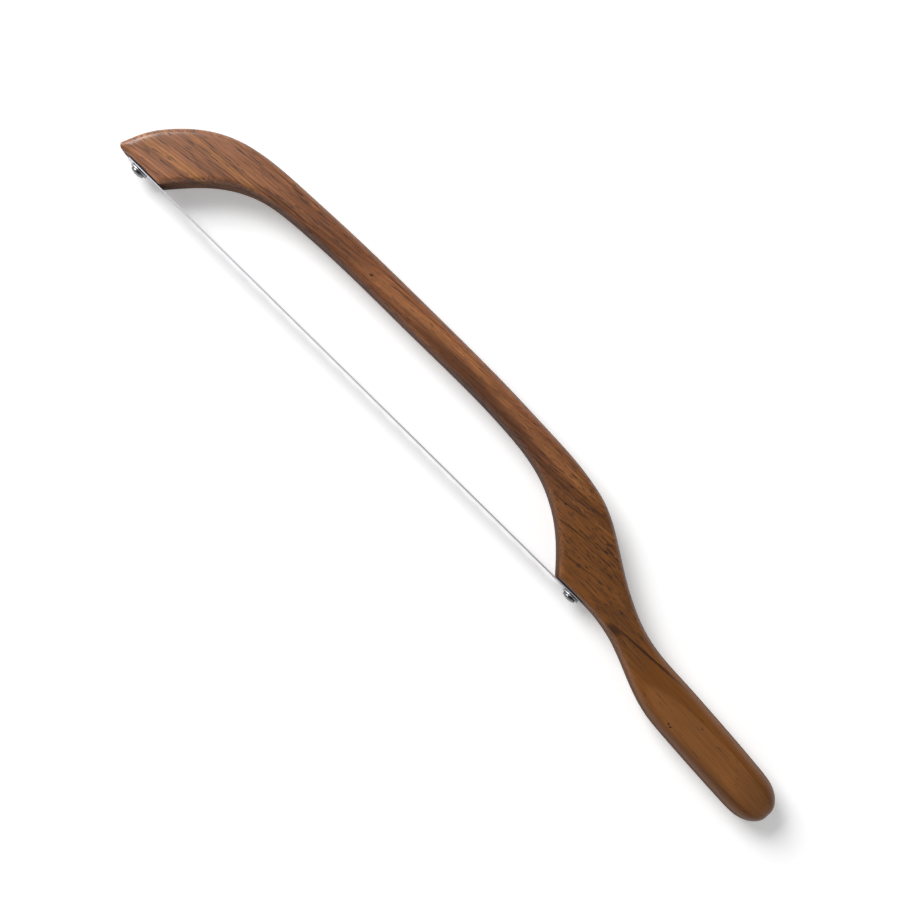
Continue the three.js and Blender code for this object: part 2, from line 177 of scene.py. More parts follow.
SHORT_PORE_MARKS = (
    ("bow", (-35.0, 26.5, TOP), (85.0, 12.0, 30.0), 2, 0.55, 0.4),
    ("heel", (58.0, 10.0, TOP), (40.0, 16.0, 30.0), -20, 0.85, 0.5),
    ("neck", (98.0, -6.0, TOP), (22.0, 12.0, 30.0), -20, 0.75, 0.5),
)
CALM_MARKS = (
    ("inner heel", (60.0, 0.0, TOP), (27.0, 8.0, 30.0), -28, 0.45, 0.4),
    ("inner bow", (-30.0, 24.5, TOP), (75.0, 4.5, 30.0), 1, 0.35, 0.4),
)


def linear(hex_colour):
    """An sRGB hex colour as the linear values that Blender's colours hold."""
    shares = [int(hex_colour[i:i + 2], 16) / 255 for i in (1, 3, 5)]
    return tuple(s / 12.92 if s <= 0.04045 else ((s + 0.055) / 1.055) ** 2.4 for s in shares)


def add(tree, kind, links=None, **settings):
    """Adds a node with its settings, and links or sets its inputs, which are named or numbered."""
    node = tree.nodes.new(kind)
    for name, value in settings.items():
        setattr(node, name, value)
    for key, value in (links or {}).items():
        for source in value if isinstance(value, list) else [value]:
            if isinstance(source, bpy.types.Node):
                source = source.outputs[0]
            if isinstance(source, bpy.types.NodeSocket):
                tree.links.new(source, node.inputs[key])
            else:
                node.inputs[key].default_value = source
    return node


# Settings

class WalnutSettings(bpy.types.PropertyGroup):
    """Colours and grain of the bow and handle."""
    # The tip's wood is lighter than the bow's partly as painted sheen, where the lamp's reflection falls, and
    # partly as its own colour
    tip: bpy.props.FloatVectorProperty(
        name="Tip wood", description="Wood of the tip, between the lines", subtype="COLOR",
        size=3, min=0, max=1, default=linear("#8e5e42"))
    bow: bpy.props.FloatVectorProperty(
        name="Bow wood", description="Wood of the bow, between the lines", subtype="COLOR",
        size=3, min=0, max=1, default=linear("#7e4d2f"))
    heel: bpy.props.FloatVectorProperty(
        name="Heel wood", description="Wood of the heel and neck, browner than the bow", subtype="COLOR",
        size=3, min=0, max=1, default=linear("#77481f"))
    handle: bpy.props.FloatVectorProperty(
        name="Handle wood", description="Wood of the handle, yellower and calmer", subtype="COLOR",
        size=3, min=0, max=1, default=linear("#744310"))
    streak: bpy.props.FloatVectorProperty(
        name="Light streaks", description="Warm light streaks along the grain", subtype="COLOR",
        size=3, min=0, max=1, default=linear("#aa7344"))
    dark: bpy.props.FloatVectorProperty(
        name="Dark wood", description="Dark growth lines and long pores", subtype="COLOR",
        size=3, min=0, max=1, default=linear("#3f2212"))
    pore: bpy.props.FloatVectorProperty(
        name="Pores", description="Short pores, smudges and pin knots", subtype="COLOR",
        size=3, min=0, max=1, default=linear("#1c0e08"))
    ring_spacing: bpy.props.FloatProperty(
        name="Ring spacing", description="Growth line to growth line", unit="LENGTH",
        default=6.2 * MM, precision=4)
    pore_length: bpy.props.FloatProperty(
        name="Pore length", description="Length of a pore cut along the grain", unit="LENGTH",
        default=7.5 * MM, precision=4)
    pore_width: bpy.props.FloatProperty(
        name="Pore width", description="Width of a pore", unit="LENGTH",
        default=0.55 * MM, precision=5)
    fibre_width: bpy.props.FloatProperty(
        name="Fibre width", description="Width of the fine streaks between pores", unit="LENGTH",
        default=0.6 * MM, precision=5)
    roughness: bpy.props.FloatProperty(
        name="Roughness", description="Roughness of the oiled surface", subtype="FACTOR",
        default=0.31, min=0, max=1)
    worn: bpy.props.FloatProperty(
        name="Handle roughness", description="Roughness added where hands have worn the oil",
        subtype="FACTOR", default=0.1, min=0, max=1)
    sides: bpy.props.FloatProperty(
        name="Side roughness", description="Roughness added on the upright sides, sanded less fine",
        subtype="FACTOR", default=0.55, min=0, max=1)
    # Painted shade: the upright sides are darkened to this share of their brightness
    painted_side_shade: bpy.props.FloatProperty(
        name="Painted side shade", description="Share of its brightness that the wood keeps on the upright sides",
        subtype="FACTOR", default=0.6, min=0, max=1)
    fineness: bpy.props.IntProperty(
        name="Fineness", description="Rounds of subdivision over the solid's facets",
        default=2, min=0, max=3)


class BladeSettings(bpy.types.PropertyGroup):
    """Sizes of the blade strip that its box doesn't give, and its colour."""
    steel: bpy.props.FloatVectorProperty(
        name="Blade steel", description="Polished stainless strip", subtype="COLOR",
        size=3, min=0, max=1, default=linear("#b2b2b7"))
    spine: bpy.props.FloatVectorProperty(
        name="Slit spine", description="Dull upper edge, where the strip was slit", subtype="COLOR",
        size=3, min=0, max=1, default=linear("#c8c6ce"))
    scallop_pitch: bpy.props.FloatProperty(
        name="Scallop pitch", description="Point to point", unit="LENGTH", default=12.7 * MM,
        precision=4)
    scallop_depth: bpy.props.FloatProperty(
        name="Scallop depth", description="Hollow of a scallop above its points", unit="LENGTH",
        default=1.6 * MM, precision=4)
    scallop_count: bpy.props.IntProperty(
        name="Scallops", description="Scallops between the two screws", default=20, min=1)
    bevel_height: bpy.props.FloatProperty(
        name="Ground band", description="Height of the ground band above the edge", unit="LENGTH",
        default=2.4 * MM, precision=4)
    edge_thickness: bpy.props.FloatProperty(
        name="Edge", description="Steel left standing at the ground edge", unit="LENGTH",
        default=0.12 * MM, precision=5)
    hole_diameter: bpy.props.FloatProperty(
        name="Screw hole", description="Diameter of the hole at each end", unit="LENGTH",
        default=4.1 * MM, precision=4)


class FastenerSettings(bpy.types.PropertyGroup):
    """Sizes of the screws and washers that their boxes don't give, and their colour."""
    steel: bpy.props.FloatVectorProperty(
        name="Fastener steel", description="Plain stainless screws and washers", subtype="COLOR",
        size=3, min=0, max=1, default=linear("#d8d8dc"))
    # Painted shade: the share of brightness that a screw's head keeps, standing in for the dark reflections
    # on its dome
    painted_head_shade: bpy.props.FloatProperty(
        name="Head tone", description="Share of that brightness that a screw keeps, duller than a washer",
        subtype="FACTOR", default=0.3, min=0, max=1)
    head_height: bpy.props.FloatProperty(
        name="Head height", description="Pan head, from its seat to its top", unit="LENGTH",
        default=1.7 * MM, precision=4)
    head_rim: bpy.props.FloatProperty(
        name="Head rim", description="Straight side of the pan head", unit="LENGTH",
        default=0.6 * MM, precision=4)
    recess_length: bpy.props.FloatProperty(
        name="Recess", description="Across the cross recess", unit="LENGTH", default=3.8 * MM,
        precision=4)
    recess_width: bpy.props.FloatProperty(
        name="Recess arm", description="Width of one arm of the cross", unit="LENGTH",
        default=1.05 * MM, precision=4)
    recess_depth: bpy.props.FloatProperty(
        name="Recess depth", description="Depth of the cross recess", unit="LENGTH",
        default=1.0 * MM, precision=4)
    thread_diameter: bpy.props.FloatProperty(
        name="Thread", description="Across the crests of the thread", unit="LENGTH",
        default=3.5 * MM, precision=4)
    root_diameter: bpy.props.FloatProperty(
        name="Thread root", description="Across the roots of the thread", unit="LENGTH",
        default=2.6 * MM, precision=4)
    thread_pitch: bpy.props.FloatProperty(
        name="Thread pitch", description="Travel in one turn", unit="LENGTH", default=1.3 * MM,
        precision=5)
    point_length: bpy.props.FloatProperty(
        name="Point", description="Tapered end of the thread", unit="LENGTH", default=4.2 * MM,
        precision=4)
    washer_hole: bpy.props.FloatProperty(
        name="Washer hole", description="Diameter of the washer's hole", unit="LENGTH",
        default=4.1 * MM, precision=4)
    washer_round: bpy.props.FloatProperty(
        name="Washer edge", description="Rounding of the washer's stamped edges", unit="LENGTH",
        default=0.12 * MM, precision=5)


class StageSettings(bpy.types.PropertyGroup):
    """Floor and light of the studio."""
    floor: bpy.props.FloatVectorProperty(
        name="Floor", description="White paper that the knife lies on", subtype="COLOR",
        size=3, min=0, max=1, default=linear("#f4f4f4"))
    floor_lift: bpy.props.FloatProperty(
        name="Floor lift", description="Brightness that the camera sees added to the lit paper",
        default=0.27, min=0, max=1)
    sky: bpy.props.FloatProperty(
        name="Sky", description="Even light from all round", default=0.32, min=0, max=2)
    ceiling: bpy.props.FloatProperty(
        name="Ceiling", description="Share of white that mirrors show straight above", subtype="FACTOR",
        default=0.1, min=0, max=1)
    softbox: bpy.props.FloatProperty(
        name="Softbox", description="Power of the large lamp beyond the tip", subtype="POWER",
        default=50.0, min=0)
    softbox_size: bpy.props.FloatProperty(
        name="Softbox size", description="Width and height of the large lamp", unit="LENGTH",
        default=1.15, min=0.01)


# Materials

def new_material(name, colour):
    """An empty node material, with a plain colour for solid view, and its node tree."""
    material = bpy.data.materials.new(name)
    material.use_nodes = True
    material.diffuse_color = (*colour, 1)
    material.node_tree.nodes.clear()
    return material, material.node_tree


def share_along(x):
    """Where a place along the knife, in mm, lies between its ends, from 0 to 1."""
    return (x + HALF_LENGTH) / (2 * HALF_LENGTH)


def oiled_walnut(settings):
    """Oiled walnut, sawn from one board and sanded: dark bands and growth lines that drift across
    the board, short dark pores cut along the grain, warm light streaks, and a soft satin shine."""
    material, tree = new_material("oiled walnut", settings.bow)
    place = add(tree, "ShaderNodeTexCoord").outputs["Object"]
    mm = add(tree, "ShaderNodeVectorMath", {0: place, "Scale": 1 / MM}, operation="SCALE")
    along, across, depth = add(tree, "ShaderNodeSeparateXYZ", {0: mm}).outputs
    share = add(tree, "ShaderNodeMapRange", {
        "Value": along, "From Min": -HALF_LENGTH, "From Max": HALF_LENGTH})

    # Marks of this board and the painted shadow at the blade's seats, ovals whose rims are uneven over these
    # widths, in mm
    rag_widths = (2.2, 0.6, 1.1)
    rag = add(tree, "ShaderNodeTexNoise", {"Vector": mm, "Scale": 0.5, "Detail": 2.0})
    centred = add(tree, "ShaderNodeVectorMath", {
        0: rag.outputs["Color"], 1: (0.5, 0.5, 0.5)}, operation="SUBTRACT")
    ragged = add(tree, "ShaderNodeVectorMath", {
        0: centred, 1: rag_widths, 2: mm}, operation="MULTIPLY_ADD")
    masks = []
    for marks in (DARK_MARKS, LIGHT_MARKS, SHORT_PORE_MARKS, CALM_MARKS):
        strongest = 0.0
        for name, centre, half_sizes, turn, strength, soft in marks:
            oval = add(tree, "ShaderNodeMapping", {
                "Vector": ragged, "Location": centre, "Rotation": (0, 0, math.radians(turn)),
                "Scale": half_sizes}, vector_type="TEXTURE", label=name)
            reach = add(tree, "ShaderNodeVectorMath", {0: oval}, operation="LENGTH")
            mask = add(tree, "ShaderNodeMapRange", {
                "Value": reach.outputs["Value"], "From Min": 1.0 + soft, "From Max": 1.0 - soft,
                "To Max": strength}, interpolation_type="SMOOTHSTEP")
            strongest = add(tree, "ShaderNodeMath", {0: strongest, 1: mask}, operation="MAXIMUM")
        masks.append(strongest)
    dark_mask, light_mask, short_mask, calm_mask = masks

    # Lines and pores are close together in the tip and bow, fewer in calm places and few in the handle
    held = add(tree, "ShaderNodeMapRange", {
        "Value": along, "From Min": HANDLE_START, "From Max": HANDLE_FULL})
    held_calm = add(tree, "ShaderNodeMath", {0: held, 1: HANDLE_CALM}, operation="MULTIPLY")
    quiet = add(tree, "ShaderNodeMath", {0: calm_mask, 1: held_calm}, operation="MAXIMUM")
    busy = add(tree, "ShaderNodeMath", {0: 1.0, 1: quiet}, operation="SUBTRACT")

    # Grain: distance across it, with the drift of the board taken off and, for the rings, a slow wander added
    drift = add(tree, "ShaderNodeFloatCurve", {"Value": share})
    points = drift.mapping.curves[0].points
    for x, y in GRAIN_DRIFT[1:-1]:
        points.new(share_along(x), y / DRIFT_RANGE)
    points[0].location = (0.0, GRAIN_DRIFT[0][1] / DRIFT_RANGE)
    points[-1].location = (1.0, GRAIN_DRIFT[-1][1] / DRIFT_RANGE)
    drift.mapping.update()
    straight = add(tree, "ShaderNodeMath", {
        0: drift, 1: -DRIFT_RANGE, 2: across}, operation="MULTIPLY_ADD")
    wander_place = add(tree, "ShaderNodeVectorMath", {
        0: mm, 1: (1 / 60, 1 / 15, 1 / 15)}, operation="MULTIPLY")
    wander = add(tree, "ShaderNodeTexNoise", {"Vector": wander_place, "Scale": 1.0, "Detail": 2.0})
    wandered = add(tree, "ShaderNodeMath", {0: wander, 1: 5.0, 2: straight}, operation="MULTIPLY_ADD")
    # The rings dip through the board, so growth lines bend where an edge is rounded over
    ring_place = add(tree, "ShaderNodeMath", {0: depth, 1: 0.6, 2: wandered}, operation="MULTIPLY_ADD")
    grain = add(tree, "ShaderNodeCombineXYZ", {0: along, 1: straight, 2: depth})
    ring = add(tree, "ShaderNodeCombineXYZ", {0: along, 1: ring_place})

    # Noises: what each is spread on, the length, width and depth of its spots in mm, the layer that keeps
    # a flat one apart from the others, its detail and roughness. Fibres are coarser than real ones, to show
    fibre = settings.fibre_width / MM
    pore = settings.pore_width / MM
    noises = {}
    for name, spread, sizes, layer, detail, roughness in (
            ("bands", ring, (150, 6), 4.3, 2, 0.5),
            ("streaks", ring, (70, 1.3), 7.7, 2, 0.6),
            ("fibres", grain, (18, fibre, fibre), 0, 3, 0.65),
            ("uneven", ring, (200, 14), 9.1, 1, 0.5),
            ("thin", ring, (45, 0.6), 2.9, 1, 0.5),
            ("pores", grain, (settings.pore_length / MM, pore, pore), 0, 1, 0.4),
            ("short", grain, (4.5, 0.6, 0.6), 0, 1, 0.5)):
        rates = tuple(1 / size for size in sizes) + (0,) * (3 - len(sizes))
        scaled = add(tree, "ShaderNodeVectorMath", {
            0: spread, 1: rates, 2: (0, 0, layer)}, operation="MULTIPLY_ADD")
        noises[name] = add(tree, "ShaderNodeTexNoise", {
            "Vector": scaled, "Scale": 1.0, "Detail": detail, "Roughness": roughness}, label=name)
    tone = -2.05
    for name, amount in (("bands", 1.0), ("streaks", 0.9), ("fibres", 2.2)):
        tone = add(tree, "ShaderNodeMath", {
            0: noises[name], 1: amount, 2: tone}, operation="MULTIPLY_ADD")
    tone = add(tree, "ShaderNodeMath", {0: tone, 1: busy, 2: 1.0}, operation="MULTIPLY_ADD")

    # Growth lines: each darkens towards its far side and stops short, with thin dark lines between them
    phase = add(tree, "ShaderNodeMath", {
        0: ring_place, 1: MM / settings.ring_spacing}, operation="MULTIPLY")
    shifted = add(tree, "ShaderNodeMath", {0: noises["uneven"], 1: 2.4, 2: phase}, operation="MULTIPLY_ADD")
    saw = add(tree, "ShaderNodeMath", {0: shifted}, operation="FRACT")
    growth = add(tree, "ShaderNodeMapRange", {
        "Value": saw, "From Min": 0.84, "From Max": 0.99, "To Max": 0.35}, interpolation_type="SMOOTHSTEP")
    thin = add(tree, "ShaderNodeMapRange", {
        "Value": noises["thin"], "From Min": 0.61, "From Max": 0.67, "To Max": 0.5},
        interpolation_type="SMOOTHSTEP")
    drawn = add(tree, "ShaderNodeMath", {0: growth, 1: thin}, operation="MAXIMUM")
    lines = add(tree, "ShaderNodeMath", {0: drawn, 1: busy}, operation="MULTIPLY")

    # Pores: dashes along the grain, closer together in some bands and rare in the handle
    closed = add(tree, "ShaderNodeMath", {0: busy, 1: -0.135, 2: 0.705}, operation="MULTIPLY_ADD")
    open_at = add(tree, "ShaderNodeMath", {
        0: noises["bands"], 1: 0.12, 2: closed}, operation="MULTIPLY_ADD")
    past = add(tree, "ShaderNodeMath", {0: noises["pores"], 1: open_at}, operation="SUBTRACT")
    pores = add(tree, "ShaderNodeMapRange", {"Value": past, "From Max": 0.04, "To Max": 0.9})

    # Where the grain comes up through the face, the pores are cut short
    short = add(tree, "ShaderNodeMapRange", {"Value": noises["short"], "From Min": 0.61, "From Max": 0.67})
    short_pores = add(tree, "ShaderNodeMath", {0: short, 1: short_mask}, operation="MULTIPLY")

    # Colour, from the broadest difference to the finest
    wood = add(tree, "ShaderNodeValToRGB", {0: share})
    stops = wood.color_ramp.elements
    stops[0].color = (*settings.tip, 1)
    stops[1].color = (*settings.handle, 1)
    for x, part in WOOD_COLOURS:
        stops.new(share_along(x)).color = (*getattr(settings, part), 1)
    amber = add(tree, "ShaderNodeMapRange", {
        "Value": noises["streaks"], "From Min": 0.55, "From Max": 0.72, "To Max": 0.34},
        interpolation_type="SMOOTHSTEP")
    free = add(tree, "ShaderNodeMapRange", {
        "Value": along, "From Min": STREAKS_FULL, "From Max": STREAKS_FADED,
        "To Min": 1.0, "To Max": STREAKS_LEFT})
    some = add(tree, "ShaderNodeMath", {0: amber, 1: free}, operation="MULTIPLY")
    warm = add(tree, "ShaderNodeMath", {
        0: some, 1: busy, 2: light_mask}, operation="MULTIPLY_ADD", use_clamp=True)
    lit = add(tree, "ShaderNodeMix", {0: warm, 6: wood, 7: (*settings.streak, 1)}, data_type="RGBA")
    toned = add(tree, "ShaderNodeMix", {
        0: 1.0, 6: lit.outputs[2], 7: tone}, data_type="RGBA", blend_type="MULTIPLY")
    darker = add(tree, "ShaderNodeMath", {0: lines, 1: pores}, operation="MAXIMUM")
    lined = add(tree, "ShaderNodeMix", {
        0: darker, 6: toned.outputs[2], 7: (*settings.dark, 1)}, data_type="RGBA")
    # The dark marks include painted shadow in the crevices at the blade's seats
    spots = add(tree, "ShaderNodeMath", {0: short_pores, 1: dark_mask}, operation="MAXIMUM")
    spotted = add(tree, "ShaderNodeMix", {
        0: spots, 6: lined.outputs[2], 7: (*settings.pore, 1)}, data_type="RGBA")

    # Upright sides are sanded less fine, so they are duller, and they carry painted shade: their colour is
    # darkened by the side shade setting
    normal = add(tree, "ShaderNodeNewGeometry").outputs["Normal"]
    facing = add(tree, "ShaderNodeSeparateXYZ", {0: normal})
    level = add(tree, "ShaderNodeMath", {0: facing.outputs[2]}, operation="ABSOLUTE")
    upright = add(tree, "ShaderNodeMapRange", {
        "Value": level, "From Min": 0.1, "From Max": 0.6, "To Min": 1.0, "To Max": 0.0})
    kept = add(tree, "ShaderNodeMapRange", {
        "Value": upright, "To Min": 1.0, "To Max": settings.painted_side_shade})
    side_shaded_colour = add(tree, "ShaderNodeMix", {
        0: 1.0, 6: spotted.outputs[2], 7: kept}, data_type="RGBA", blend_type="MULTIPLY")

    # Oil leaves the pores open and duller than the sanded wood between them
    oiled = add(tree, "ShaderNodeMath", {
        0: held, 1: settings.worn, 2: settings.roughness}, operation="MULTIPLY_ADD")
    sanded = add(tree, "ShaderNodeMath", {
        0: upright, 1: settings.sides, 2: oiled}, operation="MULTIPLY_ADD")
    holes = add(tree, "ShaderNodeMath", {0: pores, 1: short_pores}, operation="MAXIMUM")
    rough = add(tree, "ShaderNodeMath", {0: holes, 1: 0.2, 2: sanded}, operation="MULTIPLY_ADD")
    relief = add(tree, "ShaderNodeMath", {
        0: holes, 1: -0.8, 2: noises["fibres"]}, operation="MULTIPLY_ADD")
    bump = add(tree, "ShaderNodeBump", {"Strength": 0.35, "Distance": 0.05 * MM, "Height": relief})
    shader = add(tree, "ShaderNodeBsdfPrincipled", {
        "Base Color": side_shaded_colour.outputs[2], "Roughness": rough, "IOR": 1.5, "Normal": bump})
    add(tree, "ShaderNodeOutputMaterial", {"Surface": shader})
    return material


def polished_strip_steel(settings):
    """Stainless strip, rolled and polished along its length, with a ground edge: a bright face with
    faint long lines, a duller band with short lines across it where the edge was ground, and a grey spine."""
    material, tree = new_material("polished stainless strip", settings.steel)
    place = add(tree, "ShaderNodeTexCoord").outputs["Object"]
    # Polishing lines 0.2 mm apart and 40 mm long, coarser than real ones so that they show
    rolled = add(tree, "ShaderNodeMapping", {"Vector": place, "Scale": (25.0, 5000.0, 5000.0)})
    lines = add(tree, "ShaderNodeTexNoise", {"Vector": rolled, "Scale": 1.0, "Detail": 2.0})
    # Grinding lines 0.25 mm apart across the ground band
    crossed = add(tree, "ShaderNodeMapping", {"Vector": place, "Scale": (4000.0, 300.0, 300.0)})
    grind = add(tree, "ShaderNodeTexNoise", {"Vector": crossed, "Scale": 1.0, "Detail": 2.0})
    normal = add(tree, "ShaderNodeNewGeometry").outputs["True Normal"]
    facing = add(tree, "ShaderNodeSeparateXYZ", {0: normal})
    ground = add(tree, "ShaderNodeMapRange", {
        "Value": facing.outputs[2], "From Min": -0.05, "From Max": -0.12})
    marks = add(tree, "ShaderNodeMix", {0: ground, 2: lines, 3: grind})
    rough = add(tree, "ShaderNodeMath", {0: marks, 1: 0.2, 2: 0.14}, operation="MULTIPLY_ADD")
    duller = add(tree, "ShaderNodeMath", {0: ground, 1: 0.12, 2: rough}, operation="MULTIPLY_ADD")
    tone = add(tree, "ShaderNodeMapRange", {
        "Value": marks, "From Min": 0.3, "From Max": 0.7, "To Min": 0.9, "To Max": 1.03})
    slit = add(tree, "ShaderNodeMapRange", {
        "Value": facing.outputs[2], "From Min": 0.5, "From Max": 0.9})
    sides = add(tree, "ShaderNodeMix", {
        0: slit, 6: (*settings.steel, 1), 7: (*settings.spine, 1)}, data_type="RGBA")
    colour = add(tree, "ShaderNodeMix", {
        0: 1.0, 6: sides.outputs[2], 7: tone}, data_type="RGBA", blend_type="MULTIPLY")
    dullest = add(tree, "ShaderNodeMath", {0: slit, 1: 0.35, 2: duller}, operation="MULTIPLY_ADD")
    bump = add(tree, "ShaderNodeBump", {"Strength": 0.15, "Distance": 0.01 * MM, "Height": marks})
    shader = add(tree, "ShaderNodeBsdfPrincipled", {
        "Base Color": colour.outputs[2], "Metallic": 1.0, "Roughness": dullest, "Normal": bump})
    add(tree, "ShaderNodeOutputMaterial", {"Surface": shader})
    return material


def plain_stainless(settings):
    """Plain stainless fasteners, cold formed, turned and tumbled: grey and satin, with darker turned rings
    round the axis and fine scuffs all over."""
    material, tree = new_material("tumbled stainless", settings.steel)
    place = add(tree, "ShaderNodeTexCoord").outputs["Object"]
    # Scuffs about 0.3 mm across from tumbling
    scuffs = add(tree, "ShaderNodeTexNoise", {
        "Vector": place, "Scale": 3300.0, "Detail": 3.0, "Roughness": 0.6})
    # Turned rings about 0.6 mm apart along the axis, coarser than real ones so that they show
    turned = add(tree, "ShaderNodeMapping", {"Vector": place, "Scale": (60.0, 1700.0, 60.0)})
    rings = add(tree, "ShaderNodeTexNoise", {"Vector": turned, "Scale": 1.0, "Detail": 1.0})
    tone = add(tree, "ShaderNodeMapRange", {
        "Value": rings, "From Min": 0.36, "From Max": 0.62, "To Min": 0.6, "To Max": 1.05})
    # Painted shade in the joints between blade, washer and head
    height = add(tree, "ShaderNodeSeparateXYZ", {0: place}).outputs[1]
    washer_low, washer_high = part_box("tip_washer")
    joint_shade_reach = 0.16 * MM
    for joint in (washer_low.y, washer_high.y):
        in_joint_shade = add(tree, "ShaderNodeMath", {0: height, 1: joint, 2: joint_shade_reach}, operation="COMPARE")
        joint_shade_share = add(tree, "ShaderNodeMapRange", {"Value": in_joint_shade, "To Min": 1.0, "To Max": 0.12})
        tone = add(tree, "ShaderNodeMath", {0: tone, 1: joint_shade_share}, operation="MULTIPLY")
    # The screw's head is painted darker than the stamped washer under it: painted shade standing in for the
    # dark reflections on its dome
    stamped = add(tree, "ShaderNodeMath", {0: height, 1: washer_low.y}, operation="GREATER_THAN")
    shade = add(tree, "ShaderNodeMapRange", {"Value": stamped, "To Min": settings.painted_head_shade})
    shaded = add(tree, "ShaderNodeMath", {0: tone, 1: shade}, operation="MULTIPLY")
    colour = add(tree, "ShaderNodeMix", {
        0: 1.0, 6: (*settings.steel, 1), 7: shaded}, data_type="RGBA", blend_type="MULTIPLY")
    scuffed = add(tree, "ShaderNodeMath", {0: scuffs, 1: 0.25, 2: 0.16}, operation="MULTIPLY_ADD")
    rough = add(tree, "ShaderNodeMath", {0: stamped, 1: 0.2, 2: scuffed}, operation="MULTIPLY_ADD")
    bump = add(tree, "ShaderNodeBump", {"Strength": 0.2, "Distance": 0.01 * MM, "Height": scuffs})
    shader = add(tree, "ShaderNodeBsdfPrincipled", {
        "Base Color": colour.outputs[2], "Metallic": 1.0, "Roughness": rough, "Normal": bump})
    add(tree, "ShaderNodeOutputMaterial", {"Surface": shader})
    return material


def shown_rays(tree):
    """1 where the camera, a reflection or glass sees the studio, and 0 where the studio lights a piece."""
    path = add(tree, "ShaderNodeLightPath")
    shown = path.outputs["Is Camera Ray"]
    for kind in ("Is Glossy Ray", "Is Transmission Ray"):
        shown = add(tree, "ShaderNodeMath", {0: shown, 1: path.outputs[kind]}, operation="MAXIMUM")
    return shown


def studio_paper(settings):
    """White matt paper: the camera and reflections see it lifted to white, and shadows stay on it."""
    material, tree = new_material("white studio paper", settings.floor)
    shown = shown_rays(tree)
    lift = add(tree, "ShaderNodeMath", {0: shown, 1: settings.floor_lift}, operation="MULTIPLY")
    # Fibres of the paper, about 0.4 mm across, too faint to show as more than matt white
    place = add(tree, "ShaderNodeTexCoord").outputs["Object"]
    fibres = add(tree, "ShaderNodeTexNoise", {"Vector": place, "Scale": 2500.0, "Detail": 2.0})
    bump = add(tree, "ShaderNodeBump", {"Strength": 0.05, "Distance": 0.02 * MM, "Height": fibres})
    paper = add(tree, "ShaderNodeBsdfDiffuse", {
        "Color": (*settings.floor, 1), "Roughness": 0.5, "Normal": bump})
    glow = add(tree, "ShaderNodeEmission", {"Color": (1, 1, 1, 1), "Strength": lift})
    near = add(tree, "ShaderNodeAddShader", {0: paper, 1: glow})
    # Away from the knife the paper sweeps up to a white wall, with no edge to see
    distance = add(tree, "ShaderNodeVectorMath", {0: place}, operation="LENGTH").outputs["Value"]
    far = add(tree, "ShaderNodeMapRange", {
        "Value": distance, "From Min": SWEEP_START, "From Max": SWEEP_END},
        interpolation_type="SMOOTHSTEP")
    swept = add(tree, "ShaderNodeMath", {0: far, 1: shown}, operation="MULTIPLY")
    wall = add(tree, "ShaderNodeEmission", {"Color": (1, 1, 1, 1), "Strength": 1.0})
    both = add(tree, "ShaderNodeMixShader", {0: swept, 1: near, 2: wall})
    add(tree, "ShaderNodeOutputMaterial", {"Surface": both})
    return material


def kept_material(name, make, settings):
    """The material of that name, made the first time that it is asked for."""
    return bpy.data.materials.get(name) or make(settings)


# Pieces

def put(obj, node, material, sharp_angle):
    """Ends a finished piece: slivers out, normals outwards, smooth faces with sharp edges, then the node
    that it stands for and its body."""
    mesh = obj.data
    work = bmesh.new()
    work.from_mesh(mesh)
    bmesh.ops.dissolve_degenerate(work, dist=SLIVER, edges=work.edges)
    bmesh.ops.recalc_face_normals(work, faces=work.faces)
    work.to_mesh(mesh)
    work.free()
    mesh.shade_smooth()
    mesh.set_sharp_from_angle(angle=math.radians(sharp_angle))
    mesh.materials.clear()
    mesh.materials.append(material)
    bodies = frame["record"]["behaviour"]["bodies"]
    body = next(name for name, nodes in bodies.items() if node in nodes)
    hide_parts(node)
    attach(obj, body)


def settled(obj):
    """Turns an object's live modifiers into a plain mesh."""
    depsgraph = bpy.context.evaluated_depsgraph_get()
    mesh = bpy.data.meshes.new_from_object(obj.evaluated_get(depsgraph))
    obj.modifiers.clear()
    obj.data = mesh
    return obj


def new_object(name):
    """An empty mesh object at the origin."""
    obj = bpy.data.objects.new(name, bpy.data.meshes.new(name))
    bpy.context.scene.collection.objects.link(obj)
    return obj


def grown(tree, name, values):
    """Runs a Geometry Nodes tree with these inputs and returns the plain mesh object that it makes."""
    obj = new_object(name)
    modifier = obj.modifiers.new("shape", "NODES")
    modifier.node_group = tree
    for item in tree.interface.items_tree:
        if item.item_type == "SOCKET" and item.in_out == "INPUT":
            modifier[item.identifier] = values[item.name]
    return settled(obj)


def new_tree(name, lengths, counts=(), vectors=()):
    """An empty Geometry Nodes tree with named inputs, and the sockets that give them."""
    tree = bpy.data.node_groups.new(name, "GeometryNodeTree")
    for socket_names, kind in ((lengths, "Float"), (counts, "Int"), (vectors, "Vector")):
        for socket_name in socket_names:
            tree.interface.new_socket(socket_name, in_out="INPUT", socket_type="NodeSocket" + kind)
    tree.interface.new_socket("Material", in_out="INPUT", socket_type="NodeSocketMaterial")
    tree.interface.new_socket("Geometry", in_out="OUTPUT", socket_type="NodeSocketGeometry")
    return tree, add(tree, "NodeGroupInput").outputs


def end_tree(tree, shape, material):
    """Ends a tree: its instances become mesh and get their material."""
    real = add(tree, "GeometryNodeRealizeInstances", {0: shape})
    painted = add(tree, "GeometryNodeSetMaterial", {0: real, "Material": material})
    add(tree, "NodeGroupOutput", {0: painted})


